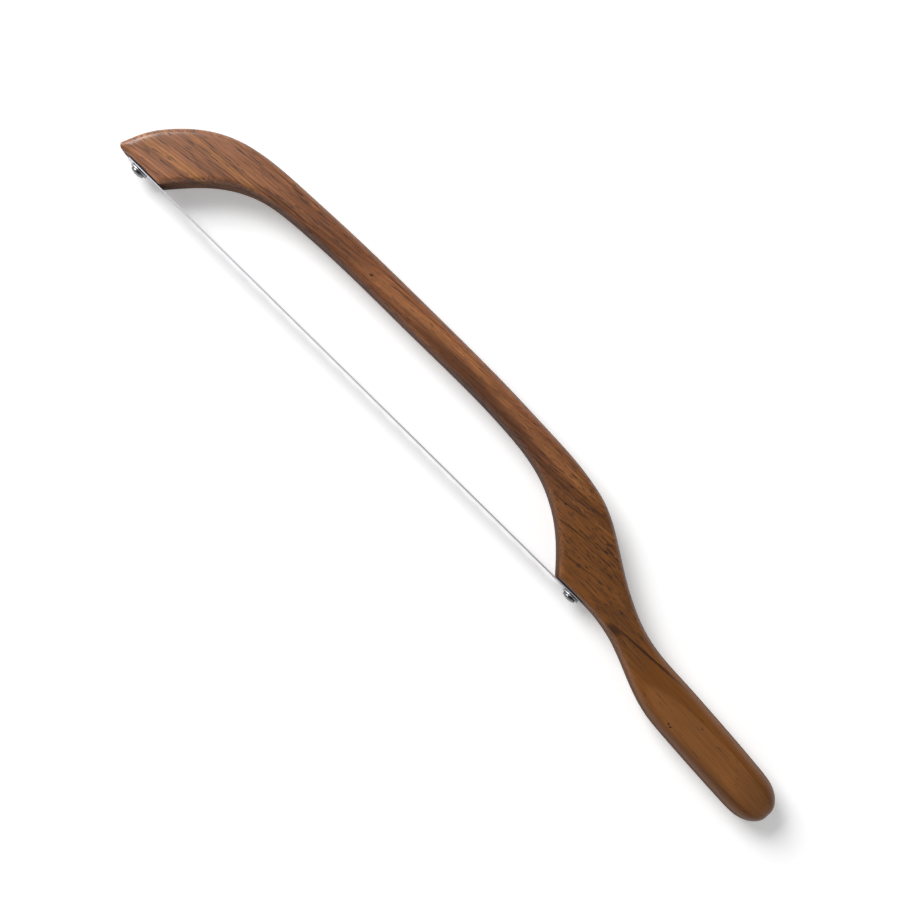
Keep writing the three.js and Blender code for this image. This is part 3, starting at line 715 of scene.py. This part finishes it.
def numbered_grid(tree, columns, rows):
    """A flat grid to be bent into shape, with the row and the column of each of its points."""
    grid = add(tree, "GeometryNodeMeshGrid", {
        "Size X": 1.0, "Size Y": 1.0, "Vertices X": columns, "Vertices Y": rows})
    index = add(tree, "GeometryNodeInputIndex")
    row = add(tree, "ShaderNodeMath", {0: index, 1: rows}, operation="MODULO")
    ratio = add(tree, "ShaderNodeMath", {0: index, 1: rows}, operation="DIVIDE")
    column = add(tree, "ShaderNodeMath", {0: ratio}, operation="FLOOR")
    return grid, row, column


def round_axis(tree, radius, turn, y):
    """The place at this radius and turn round a screw's axis, at y along it."""
    sides = []
    for wave in ("SINE", "COSINE"):
        share = add(tree, "ShaderNodeMath", {0: turn}, operation=wave)
        sides.append(add(tree, "ShaderNodeMath", {0: radius, 1: share}, operation="MULTIPLY"))
    return add(tree, "ShaderNodeCombineXYZ", {0: sides[0], 1: y, 2: sides[1]})


def blade_tree():
    """Blade strip: a grid wrapped round the strip's section, whose edge rises in arcs between points.
    The rows of the grid are the corners of the section, and its first and last columns close the ends."""
    lengths = (
        "Low X", "High X", "Spine Z", "Points Z", "Face Y", "Back Y", "Edge Y", "First X",
        "Pitch", "Depth", "Bevel", "Hole Radius", "Tip Hole X", "Heel Hole X", "Hole Z")
    tree, given = new_tree("scalloped blade", lengths, counts=("Scallops", "Columns"))
    corners = 5
    grid, row, column = numbered_grid(tree, given["Columns"], corners + 1)
    # Columns stand an even share of a scallop apart, so that every point of the edge is on a column
    step = add(tree, "ShaderNodeMath", {0: given["Pitch"], 1: SCALLOP_STEPS}, operation="DIVIDE")
    lead = add(tree, "ShaderNodeMath", {0: given["First X"], 1: given["Low X"]}, operation="SUBTRACT")
    leading = add(tree, "ShaderNodeMath", {0: lead, 1: step}, operation="DIVIDE")
    full = add(tree, "ShaderNodeMath", {0: leading}, operation="CEIL")
    # One column more, at each end, is drawn together to close it
    before = add(tree, "ShaderNodeMath", {0: full, 1: 1.0}, operation="ADD")
    place = add(tree, "ShaderNodeMath", {0: column, 1: before}, operation="SUBTRACT")
    station = add(tree, "ShaderNodeMath", {
        0: place, 1: step, 2: given["First X"]}, operation="MULTIPLY_ADD")
    capped = add(tree, "ShaderNodeMath", {0: station, 1: given["High X"]}, operation="MINIMUM")
    x = add(tree, "ShaderNodeMath", {0: capped, 1: given["Low X"]}, operation="MAXIMUM")

    # Rise of the edge: an arc through two points and the middle of the scallop
    half = add(tree, "ShaderNodeMath", {0: given["Pitch"], 1: 0.5}, operation="MULTIPLY")
    half_squared = add(tree, "ShaderNodeMath", {0: half, 1: 2.0}, operation="POWER")
    depth_squared = add(tree, "ShaderNodeMath", {0: given["Depth"], 1: 2.0}, operation="POWER")
    squares = add(tree, "ShaderNodeMath", {0: half_squared, 1: depth_squared}, operation="ADD")
    twice = add(tree, "ShaderNodeMath", {0: given["Depth"], 1: 2.0}, operation="MULTIPLY")
    radius = add(tree, "ShaderNodeMath", {0: squares, 1: twice}, operation="DIVIDE")
    from_first = add(tree, "ShaderNodeMath", {0: x, 1: given["First X"]}, operation="SUBTRACT")
    scallop = add(tree, "ShaderNodeMath", {0: from_first, 1: given["Pitch"]}, operation="DIVIDE")
    passed = add(tree, "ShaderNodeMath", {0: scallop}, operation="FRACT")
    within = add(tree, "ShaderNodeMath", {0: passed, 1: 0.5}, operation="SUBTRACT")
    aside = add(tree, "ShaderNodeMath", {0: within, 1: given["Pitch"]}, operation="MULTIPLY")
    aside_squared = add(tree, "ShaderNodeMath", {0: aside, 1: 2.0}, operation="POWER")
    radius_squared = add(tree, "ShaderNodeMath", {0: radius, 1: 2.0}, operation="POWER")
    rest = add(tree, "ShaderNodeMath", {0: radius_squared, 1: aside_squared}, operation="SUBTRACT")
    height = add(tree, "ShaderNodeMath", {0: rest}, operation="SQRT")
    sunk = add(tree, "ShaderNodeMath", {0: radius, 1: given["Depth"]}, operation="SUBTRACT")
    arc = add(tree, "ShaderNodeMath", {0: height, 1: sunk}, operation="SUBTRACT")
    started = add(tree, "ShaderNodeMath", {0: scallop, 1: 0.0}, operation="GREATER_THAN")
    ended = add(tree, "ShaderNodeMath", {0: scallop, 1: given["Scallops"]}, operation="LESS_THAN")
    inside = add(tree, "ShaderNodeMath", {0: started, 1: ended}, operation="MULTIPLY")
    rise = add(tree, "ShaderNodeMath", {0: arc, 1: inside}, operation="MULTIPLY")
    edge = add(tree, "ShaderNodeMath", {0: rise, 1: given["Points Z"]}, operation="ADD")
    bevel = add(tree, "ShaderNodeMath", {0: edge, 1: given["Bevel"]}, operation="ADD")

    # Corners of the section, once round: edge, spine, back of the spine, ground line, back of the edge, and
    # the first again
    section_y = add(tree, "GeometryNodeIndexSwitch", {0: row}, data_type="FLOAT")
    section_z = add(tree, "GeometryNodeIndexSwitch", {0: row}, data_type="FLOAT")
    face = given["Face Y"]
    back = given["Back Y"]
    ys = (face, face, back, back, given["Edge Y"], face)
    zs = (edge, given["Spine Z"], given["Spine Z"], bevel, edge, edge)
    for switch, values in ((section_y, ys), (section_z, zs)):
        for number, value in enumerate(values):
            if number > 1:
                switch.index_switch_items.new()
            source = value.outputs[0] if isinstance(value, bpy.types.Node) else value
            tree.links.new(source, switch.inputs[number + 1])
    both = add(tree, "ShaderNodeMath", {0: face, 1: back}, operation="ADD")
    middle_y = add(tree, "ShaderNodeMath", {0: both, 1: 0.5}, operation="MULTIPLY")
    last = add(tree, "ShaderNodeMath", {0: given["Columns"], 1: 1.5}, operation="SUBTRACT")
    is_first = add(tree, "ShaderNodeMath", {0: column, 1: 0.5}, operation="LESS_THAN")
    is_last = add(tree, "ShaderNodeMath", {0: column, 1: last}, operation="GREATER_THAN")
    is_end = add(tree, "ShaderNodeMath", {0: is_first, 1: is_last}, operation="MAXIMUM")
    y = add(tree, "ShaderNodeMix", {0: is_end, 2: section_y, 3: middle_y})
    z = add(tree, "ShaderNodeMix", {0: is_end, 2: section_z, 3: given["Hole Z"]})
    position = add(tree, "ShaderNodeCombineXYZ", {0: x, 1: y, 2: z})
    strip = add(tree, "GeometryNodeSetPosition", {0: grid, "Position": position})
    closed = add(tree, "GeometryNodeMergeByDistance", {0: strip, "Distance": GRID_MERGE})

    # Holes for the screws, drilled right through
    drill_length = 4 * MM
    cutters = []
    for hole_x in ("Tip Hole X", "Heel Hole X"):
        cutter = add(tree, "GeometryNodeMeshCylinder", {
            "Vertices": HOLE_STEPS, "Radius": given["Hole Radius"], "Depth": drill_length})
        middle = add(tree, "ShaderNodeCombineXYZ", {0: given[hole_x], 1: middle_y, 2: given["Hole Z"]})
        cutters.append(add(tree, "GeometryNodeTransform", {
            0: cutter, "Rotation": (math.pi / 2, 0, 0), "Translation": middle}))
    drilled = add(tree, "GeometryNodeMeshBoolean", {
        "Mesh 1": closed, "Mesh 2": cutters}, operation="DIFFERENCE")
    end_tree(tree, drilled, given["Material"])
    return tree


def washer_tree():
    """Plain washer: a rectangle with rounded corners swept round the screw's axis."""
    lengths = ("Outer Radius", "Hole Radius", "Thickness", "Edge Round")
    tree, given = new_tree("plain washer", lengths, vectors=("Middle",))
    outer = given["Outer Radius"]
    hole = given["Hole Radius"]
    width = add(tree, "ShaderNodeMath", {0: outer, 1: hole}, operation="SUBTRACT")
    both = add(tree, "ShaderNodeMath", {0: outer, 1: hole}, operation="ADD")
    radius = add(tree, "ShaderNodeMath", {0: both, 1: 0.5}, operation="MULTIPLY")
    outline = add(tree, "GeometryNodeCurvePrimitiveQuadrilateral", {
        "Width": width, "Height": given["Thickness"]})
    rounded = add(tree, "GeometryNodeFilletCurve", {
        0: outline, "Radius": given["Edge Round"], "Count": CORNER_STEPS}, mode="POLY")
    path = add(tree, "GeometryNodeCurvePrimitiveCircle", {"Resolution": WASHER_STEPS, "Radius": radius})
    ring = add(tree, "GeometryNodeCurveToMesh", {"Curve": path, "Profile Curve": rounded})
    set_up = add(tree, "GeometryNodeTransform", {
        0: ring, "Rotation": (math.pi / 2, 0, 0), "Translation": given["Middle"]})
    end_tree(tree, set_up, given["Material"])
    return tree


def screw_tree():
    """Pan-head screw along +Y from its seat: a turned head with a cross recess, and a thread that is a
    strip wound round the axis, one pitch wide, tapered to a point."""
    lengths = (
        "Head Radius", "Head Height", "Rim", "Recess Length", "Recess Width", "Recess Depth",
        "Crest Radius", "Root Radius", "Pitch", "Length", "Point")
    tree, given = new_tree("pan-head screw", lengths, counts=("Turns",), vectors=("Seat",))

    # Head: rows run from the middle of the top, over the dome and down the rim, to the seat's middle. Each
    # has its share of the head's radius, of the dome's height and of the rim's height, and the rim's lower
    # corner is cut off a little
    dome_turns = [math.pi / 2 * i / DOME_STEPS for i in range(DOME_STEPS + 1)]
    profile = [(math.sin(angle), math.cos(angle), 1.0) for angle in dome_turns]
    profile += [(1.0, 0.0, 0.12), (0.975, 0.0, 0.0), (0.0, 0.0, 0.0)]
    columns = 2 * SCREW_STEPS
    grid, row, column = numbered_grid(tree, columns + 1, len(profile))
    turn = add(tree, "ShaderNodeMath", {0: column, 1: 2 * math.pi / columns}, operation="MULTIPLY")
    radius_share = add(tree, "GeometryNodeIndexSwitch", {0: row}, data_type="FLOAT")
    dome_share = add(tree, "GeometryNodeIndexSwitch", {0: row}, data_type="FLOAT")
    rim_share = add(tree, "GeometryNodeIndexSwitch", {0: row}, data_type="FLOAT")
    for switch, part in ((radius_share, 0), (dome_share, 1), (rim_share, 2)):
        for number, shares in enumerate(profile):
            if number > 1:
                switch.index_switch_items.new()
            switch.inputs[number + 1].default_value = shares[part]
    radius = add(tree, "ShaderNodeMath", {0: radius_share, 1: given["Head Radius"]}, operation="MULTIPLY")
    dome_height = add(tree, "ShaderNodeMath", {
        0: given["Head Height"], 1: given["Rim"]}, operation="SUBTRACT")
    over_rim = add(tree, "ShaderNodeMath", {0: dome_share, 1: dome_height}, operation="MULTIPLY")
    height = add(tree, "ShaderNodeMath", {
        0: rim_share, 1: given["Rim"], 2: over_rim}, operation="MULTIPLY_ADD")
    outwards = add(tree, "ShaderNodeMath", {0: height, 1: -1.0}, operation="MULTIPLY")
    turned = add(tree, "GeometryNodeSetPosition", {
        0: grid, "Position": round_axis(tree, radius, turn, outwards)})
    head = add(tree, "GeometryNodeMergeByDistance", {0: turned, "Distance": GRID_MERGE})
    # Recess: two crossed bars, as far out of the top as in it, cut from the head
    deep = add(tree, "ShaderNodeMath", {0: given["Recess Depth"], 1: 2.0}, operation="MULTIPLY")
    top = add(tree, "ShaderNodeMath", {0: given["Head Height"], 1: -1.0}, operation="MULTIPLY")
    size = add(tree, "ShaderNodeCombineXYZ", {0: given["Recess Length"], 1: deep, 2: given["Recess Width"]})
    top_middle = add(tree, "ShaderNodeCombineXYZ", {1: top})
    arms = []
    for turned_by in (0, math.pi / 2):
        arm = add(tree, "GeometryNodeMeshCube", {"Size": size})
        arms.append(add(tree, "GeometryNodeTransform", {
            0: arm, "Rotation": (0, turned_by, 0), "Translation": top_middle}))
    driven = add(tree, "GeometryNodeMeshBoolean", {
        "Mesh 1": head, "Mesh 2": arms}, operation="DIFFERENCE", solver="MANIFOLD")

    # Thread: rows cross one pitch, from root to crest and back to the next root
    section = ((0.0, 0.0), (0.5, 0.0), (0.7, 1.0), (0.8, 1.0), (1.0, 0.0))
    stations = add(tree, "ShaderNodeMath", {
        0: given["Turns"], 1: SCREW_STEPS, 2: 1.0}, operation="MULTIPLY_ADD")
    band, thread_row, wound = numbered_grid(tree, stations, len(section))
    angle = add(tree, "ShaderNodeMath", {0: wound, 1: 2 * math.pi / SCREW_STEPS}, operation="MULTIPLY")
    rise_share = add(tree, "GeometryNodeIndexSwitch", {0: thread_row}, data_type="FLOAT")
    crest_share = add(tree, "GeometryNodeIndexSwitch", {0: thread_row}, data_type="FLOAT")
    for number, (rise, crest) in enumerate(section):
        for switch, share in ((rise_share, rise), (crest_share, crest)):
            if number > 1:
                switch.index_switch_items.new()
            switch.inputs[number + 1].default_value = share
    turns_up = add(tree, "ShaderNodeMath", {
        0: wound, 1: 1 / SCREW_STEPS, 2: rise_share}, operation="MULTIPLY_ADD")
    # The first turn lies wholly on the disc that closes the strip, inside the head
    from_start = add(tree, "ShaderNodeMath", {0: turns_up, 1: LEAD_TURNS}, operation="SUBTRACT")
    climbed = add(tree, "ShaderNodeMath", {0: from_start, 1: given["Pitch"]}, operation="MULTIPLY")
    under = add(tree, "ShaderNodeMath", {0: given["Rim"], 1: -0.5}, operation="MULTIPLY")
    bounded = add(tree, "ShaderNodeMath", {0: climbed, 1: given["Length"]}, operation="MINIMUM")
    y = add(tree, "ShaderNodeMath", {0: bounded, 1: under}, operation="MAXIMUM")
    started = add(tree, "ShaderNodeMath", {0: climbed, 1: under}, operation="GREATER_THAN")
    crested = add(tree, "ShaderNodeMath", {0: crest_share, 1: started}, operation="MULTIPLY")
    root = given["Root Radius"]
    stands = add(tree, "ShaderNodeMath", {0: given["Crest Radius"], 1: root}, operation="SUBTRACT")
    full = add(tree, "ShaderNodeMath", {0: crested, 1: stands, 2: root}, operation="MULTIPLY_ADD")
    # The point tapers a little fuller than a cone
    left = add(tree, "ShaderNodeMath", {0: given["Length"], 1: y}, operation="SUBTRACT")
    taper = add(tree, "ShaderNodeMath", {0: left, 1: given["Point"]}, operation="DIVIDE", use_clamp=True)
    eased = add(tree, "ShaderNodeMath", {0: taper, 1: 0.8}, operation="POWER")
    thread_radius = add(tree, "ShaderNodeMath", {0: full, 1: eased}, operation="MULTIPLY")
    strip = add(tree, "GeometryNodeSetPosition", {
        0: band, "Position": round_axis(tree, thread_radius, angle, y)})
    # A disc inside the head closes the start of the strip
    disc = add(tree, "GeometryNodeMeshCircle", {"Vertices": SCREW_STEPS, "Radius": root}, fill_type="NGON")
    start = add(tree, "ShaderNodeCombineXYZ", {1: under})
    seated = add(tree, "GeometryNodeTransform", {
        0: disc, "Rotation": (math.pi / 2, 0, 0), "Translation": start})
    ends = add(tree, "GeometryNodeJoinGeometry", {0: [strip, seated]})
    shank = add(tree, "GeometryNodeMergeByDistance", {0: ends, "Distance": THREAD_MERGE})
    whole = add(tree, "GeometryNodeJoinGeometry", {0: [driven, shank]})
    moved = add(tree, "GeometryNodeTransform", {0: whole, "Translation": given["Seat"]})
    end_tree(tree, moved, given["Material"])
    return tree


class KNIFE_OT_bow(bpy.types.Operator):
    """Builds the bow, neck and handle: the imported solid's facets rounded over, in oiled walnut"""
    bl_idname = "bread_knife.bow"
    bl_label = "Bow and handle"

    def execute(self, context):
        settings = context.scene.bread_knife_walnut
        obj = new_object("walnut_bow")
        work = bmesh.new()
        work.from_mesh(frame["nodes"]["bow_frame"].data)
        bmesh.ops.remove_doubles(work, verts=work.verts, dist=BOW_MERGE)
        bmesh.ops.join_triangles(
            work, faces=work.faces, angle_face_threshold=math.radians(FLAT_ANGLE),
            angle_shape_threshold=math.radians(SQUARE_ANGLE))
        crease = work.edges.layers.float.new("crease_edge")
        for edge in work.edges:
            if edge.is_manifold and edge.calc_face_angle() > math.radians(CREASE_ANGLE):
                edge[crease] = 1.0
        work.to_mesh(obj.data)
        work.free()
        rounding = obj.modifiers.new("rounding", "SUBSURF")
        rounding.levels = settings.fineness
        rounding.render_levels = settings.fineness
        wood = kept_material("oiled walnut", oiled_walnut, settings)
        put(settled(obj), "bow_frame", wood, BOW_SHARP)
        return {"FINISHED"}


class KNIFE_OT_blade(bpy.types.Operator):
    """Builds the scalloped blade strip, ground along its edge and drilled for its screws"""
    bl_idname = "bread_knife.blade"
    bl_label = "Blade"

    def execute(self, context):
        settings = context.scene.bread_knife_blade
        steel = kept_material("polished stainless strip", polished_strip_steel, settings)
        low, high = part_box("blade")
        tip_low, tip_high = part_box("tip_washer")
        heel_low, heel_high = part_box("heel_washer")
        tip_x = (tip_low.x + tip_high.x) / 2
        heel_x = (heel_low.x + heel_high.x) / 2
        scalloped = settings.scallop_count * settings.scallop_pitch
        first = (tip_x + heel_x - scalloped) / 2
        step = settings.scallop_pitch / SCALLOP_STEPS
        # Columns of the strip, and one more at each end to close it
        columns = math.ceil((first - low.x) / step) + math.ceil((high.x - first) / step) + 1
        obj = grown(blade_tree(), "scalloped_blade", {
            "Low X": low.x, "High X": high.x, "Spine Z": high.z, "Points Z": low.z, "Face Y": high.y,
            "Back Y": low.y, "Edge Y": high.y - settings.edge_thickness, "First X": first,
            "Pitch": settings.scallop_pitch, "Depth": settings.scallop_depth, "Bevel": settings.bevel_height,
            "Hole Radius": settings.hole_diameter / 2, "Tip Hole X": tip_x, "Heel Hole X": heel_x,
            "Hole Z": (low.z + high.z) / 2, "Scallops": settings.scallop_count, "Columns": columns + 2,
            "Material": steel})
        put(obj, "blade", steel, BLADE_SHARP)
        return {"FINISHED"}


class KNIFE_OT_washers(bpy.types.Operator):
    """Builds the two plain washers between the blade and the screws' heads"""
    bl_idname = "bread_knife.washers"
    bl_label = "Washers"

    def execute(self, context):
        settings = context.scene.bread_knife_fasteners
        steel = kept_material("tumbled stainless", plain_stainless, settings)
        tree = washer_tree()
        for end in ("tip", "heel"):
            low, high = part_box(end + "_washer")
            obj = grown(tree, "plain_washer_" + end, {
                "Outer Radius": (high.x - low.x) / 2, "Hole Radius": settings.washer_hole / 2,
                "Thickness": high.y - low.y, "Edge Round": settings.washer_round,
                "Middle": (low + high) / 2,
                "Material": steel})
            put(obj, end + "_washer", steel, WASHER_SHARP)
        return {"FINISHED"}


class KNIFE_OT_screws(bpy.types.Operator):
    """Builds the two pan-head screws that hold the blade"""
    bl_idname = "bread_knife.screws"
    bl_label = "Screws"

    def execute(self, context):
        settings = context.scene.bread_knife_fasteners
        steel = kept_material("tumbled stainless", plain_stainless, settings)
        tree = screw_tree()
        for end in ("tip", "heel"):
            low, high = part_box(end + "_screw")
            middle = (low + high) / 2
            seat = low.y + settings.head_height
            length = high.y - seat
            obj = grown(tree, "pan_head_screw_" + end, {
                "Head Radius": (high.x - low.x) / 2, "Head Height": settings.head_height,
                "Rim": settings.head_rim, "Recess Length": settings.recess_length,
                "Recess Width": settings.recess_width, "Recess Depth": settings.recess_depth,
                "Crest Radius": settings.thread_diameter / 2, "Root Radius": settings.root_diameter / 2,
                "Pitch": settings.thread_pitch, "Length": length, "Point": settings.point_length,
                "Turns": math.ceil(length / settings.thread_pitch) + LEAD_TURNS,
                "Seat": Vector((middle.x, seat, middle.z)),
                "Material": steel})
            put(obj, end + "_screw", steel, SCREW_SHARP)
        return {"FINISHED"}


class KNIFE_OT_stage(bpy.types.Operator):
    """Sets the camera, the pale floor, the large soft lamp and the even light all round"""
    bl_idname = "bread_knife.stage"
    bl_label = "Studio"

    def execute(self, context):
        settings = context.scene.bread_knife_stage
        scene = context.scene
        scene.view_settings.view_transform = "Standard"

        camera = bpy.data.objects.new("camera", bpy.data.cameras.new("camera"))
        scene.collection.objects.link(camera)
        camera.data.lens = CAMERA_LENS
        camera.data.clip_start = CAMERA_CLIP
        back = (CAMERA_PLACE - CAMERA_TARGET).normalized()
        right = CAMERA_UP.cross(back).normalized()
        up = back.cross(right)
        turn = camera.matrix_world.to_3x3()
        turn.col[0], turn.col[1], turn.col[2] = right, up, back
        camera.matrix_world = turn.to_4x4()
        camera.location = CAMERA_PLACE
        scene.camera = camera

        floor = new_object("studio_floor")
        work = bmesh.new()
        bmesh.ops.create_grid(
            work, x_segments=FLOOR_SQUARES, y_segments=FLOOR_SQUARES, size=FLOOR_HALF_WIDTH)
        bmesh.ops.translate(work, verts=work.verts, vec=(0, 0, -FLOOR_DROP))
        work.to_mesh(floor.data)
        work.free()
        floor.data.materials.append(studio_paper(settings))

        lamp = bpy.data.lights.new("softbox", "AREA")
        lamp.shape = "SQUARE"
        lamp.size = settings.softbox_size
        lamp.energy = settings.softbox
        softbox = bpy.data.objects.new("softbox", lamp)
        scene.collection.objects.link(softbox)
        softbox.location = SOFTBOX_PLACE
        softbox.rotation_euler = (-SOFTBOX_PLACE).to_track_quat("-Z", "Y").to_euler()

        world = bpy.data.worlds.new("even light")
        world.use_nodes = True
        scene.world = world
        tree = world.node_tree
        tree.nodes.clear()
        # Mirrors show white walls all round and a greyer ceiling
        direction = add(tree, "ShaderNodeTexCoord").outputs["Generated"]
        aim = add(tree, "ShaderNodeSeparateXYZ", {0: direction})
        room = add(tree, "ShaderNodeMapRange", {
            "Value": aim.outputs[2], "From Min": WALL_TOP, "From Max": CEILING_EDGE,
            "To Min": 1.0, "To Max": settings.ceiling}, interpolation_type="SMOOTHSTEP")
        strength = add(tree, "ShaderNodeMix", {0: shown_rays(tree), 2: settings.sky, 3: room})
        sky = add(tree, "ShaderNodeBackground", {"Color": (1, 1, 1, 1), "Strength": strength})
        add(tree, "ShaderNodeOutputWorld", {"Surface": sky})
        return {"FINISHED"}


class KNIFE_PT_sidebar(bpy.types.Panel):
    """Lists the pieces of the knife and the sizes and colours that can be changed"""
    bl_label = "Bread bow knife"
    bl_idname = "KNIFE_PT_sidebar"
    bl_space_type = "VIEW_3D"
    bl_region_type = "UI"
    bl_category = "Bread Knife"

    def draw(self, context):
        scene = context.scene
        groups = (
            ("bread_knife.bow", scene.bread_knife_walnut), ("bread_knife.blade", scene.bread_knife_blade),
            ("bread_knife.washers", None), ("bread_knife.screws", scene.bread_knife_fasteners),
            ("bread_knife.stage", scene.bread_knife_stage))
        for operator, settings in groups:
            box = self.layout.box()
            box.operator(operator)
            if settings:
                for name in settings.__annotations__:
                    box.prop(settings, name)


CLASSES = (
    WalnutSettings, BladeSettings, FastenerSettings, StageSettings, KNIFE_OT_bow, KNIFE_OT_blade,
    KNIFE_OT_washers, KNIFE_OT_screws, KNIFE_OT_stage, KNIFE_PT_sidebar,
)
SETTINGS = {
    "bread_knife_walnut": WalnutSettings, "bread_knife_blade": BladeSettings,
    "bread_knife_fasteners": FastenerSettings, "bread_knife_stage": StageSettings,
}


def register():
    """Registers the classes and puts their settings on the scene."""
    for cls in CLASSES:
        bpy.utils.register_class(cls)
    for name, group in SETTINGS.items():
        setattr(bpy.types.Scene, name, bpy.props.PointerProperty(type=group))


def unregister():
    """Takes the settings and the classes away again."""
    for name in SETTINGS:
        delattr(bpy.types.Scene, name)
    for cls in reversed(CLASSES):
        bpy.utils.unregister_class(cls)


def main():
    """Builds the pieces and the stage."""
    register()
    bpy.ops.bread_knife.bow()
    bpy.ops.bread_knife.blade()
    bpy.ops.bread_knife.washers()
    bpy.ops.bread_knife.screws()
    bpy.ops.bread_knife.stage()


if __name__ == "__main__":
    main()
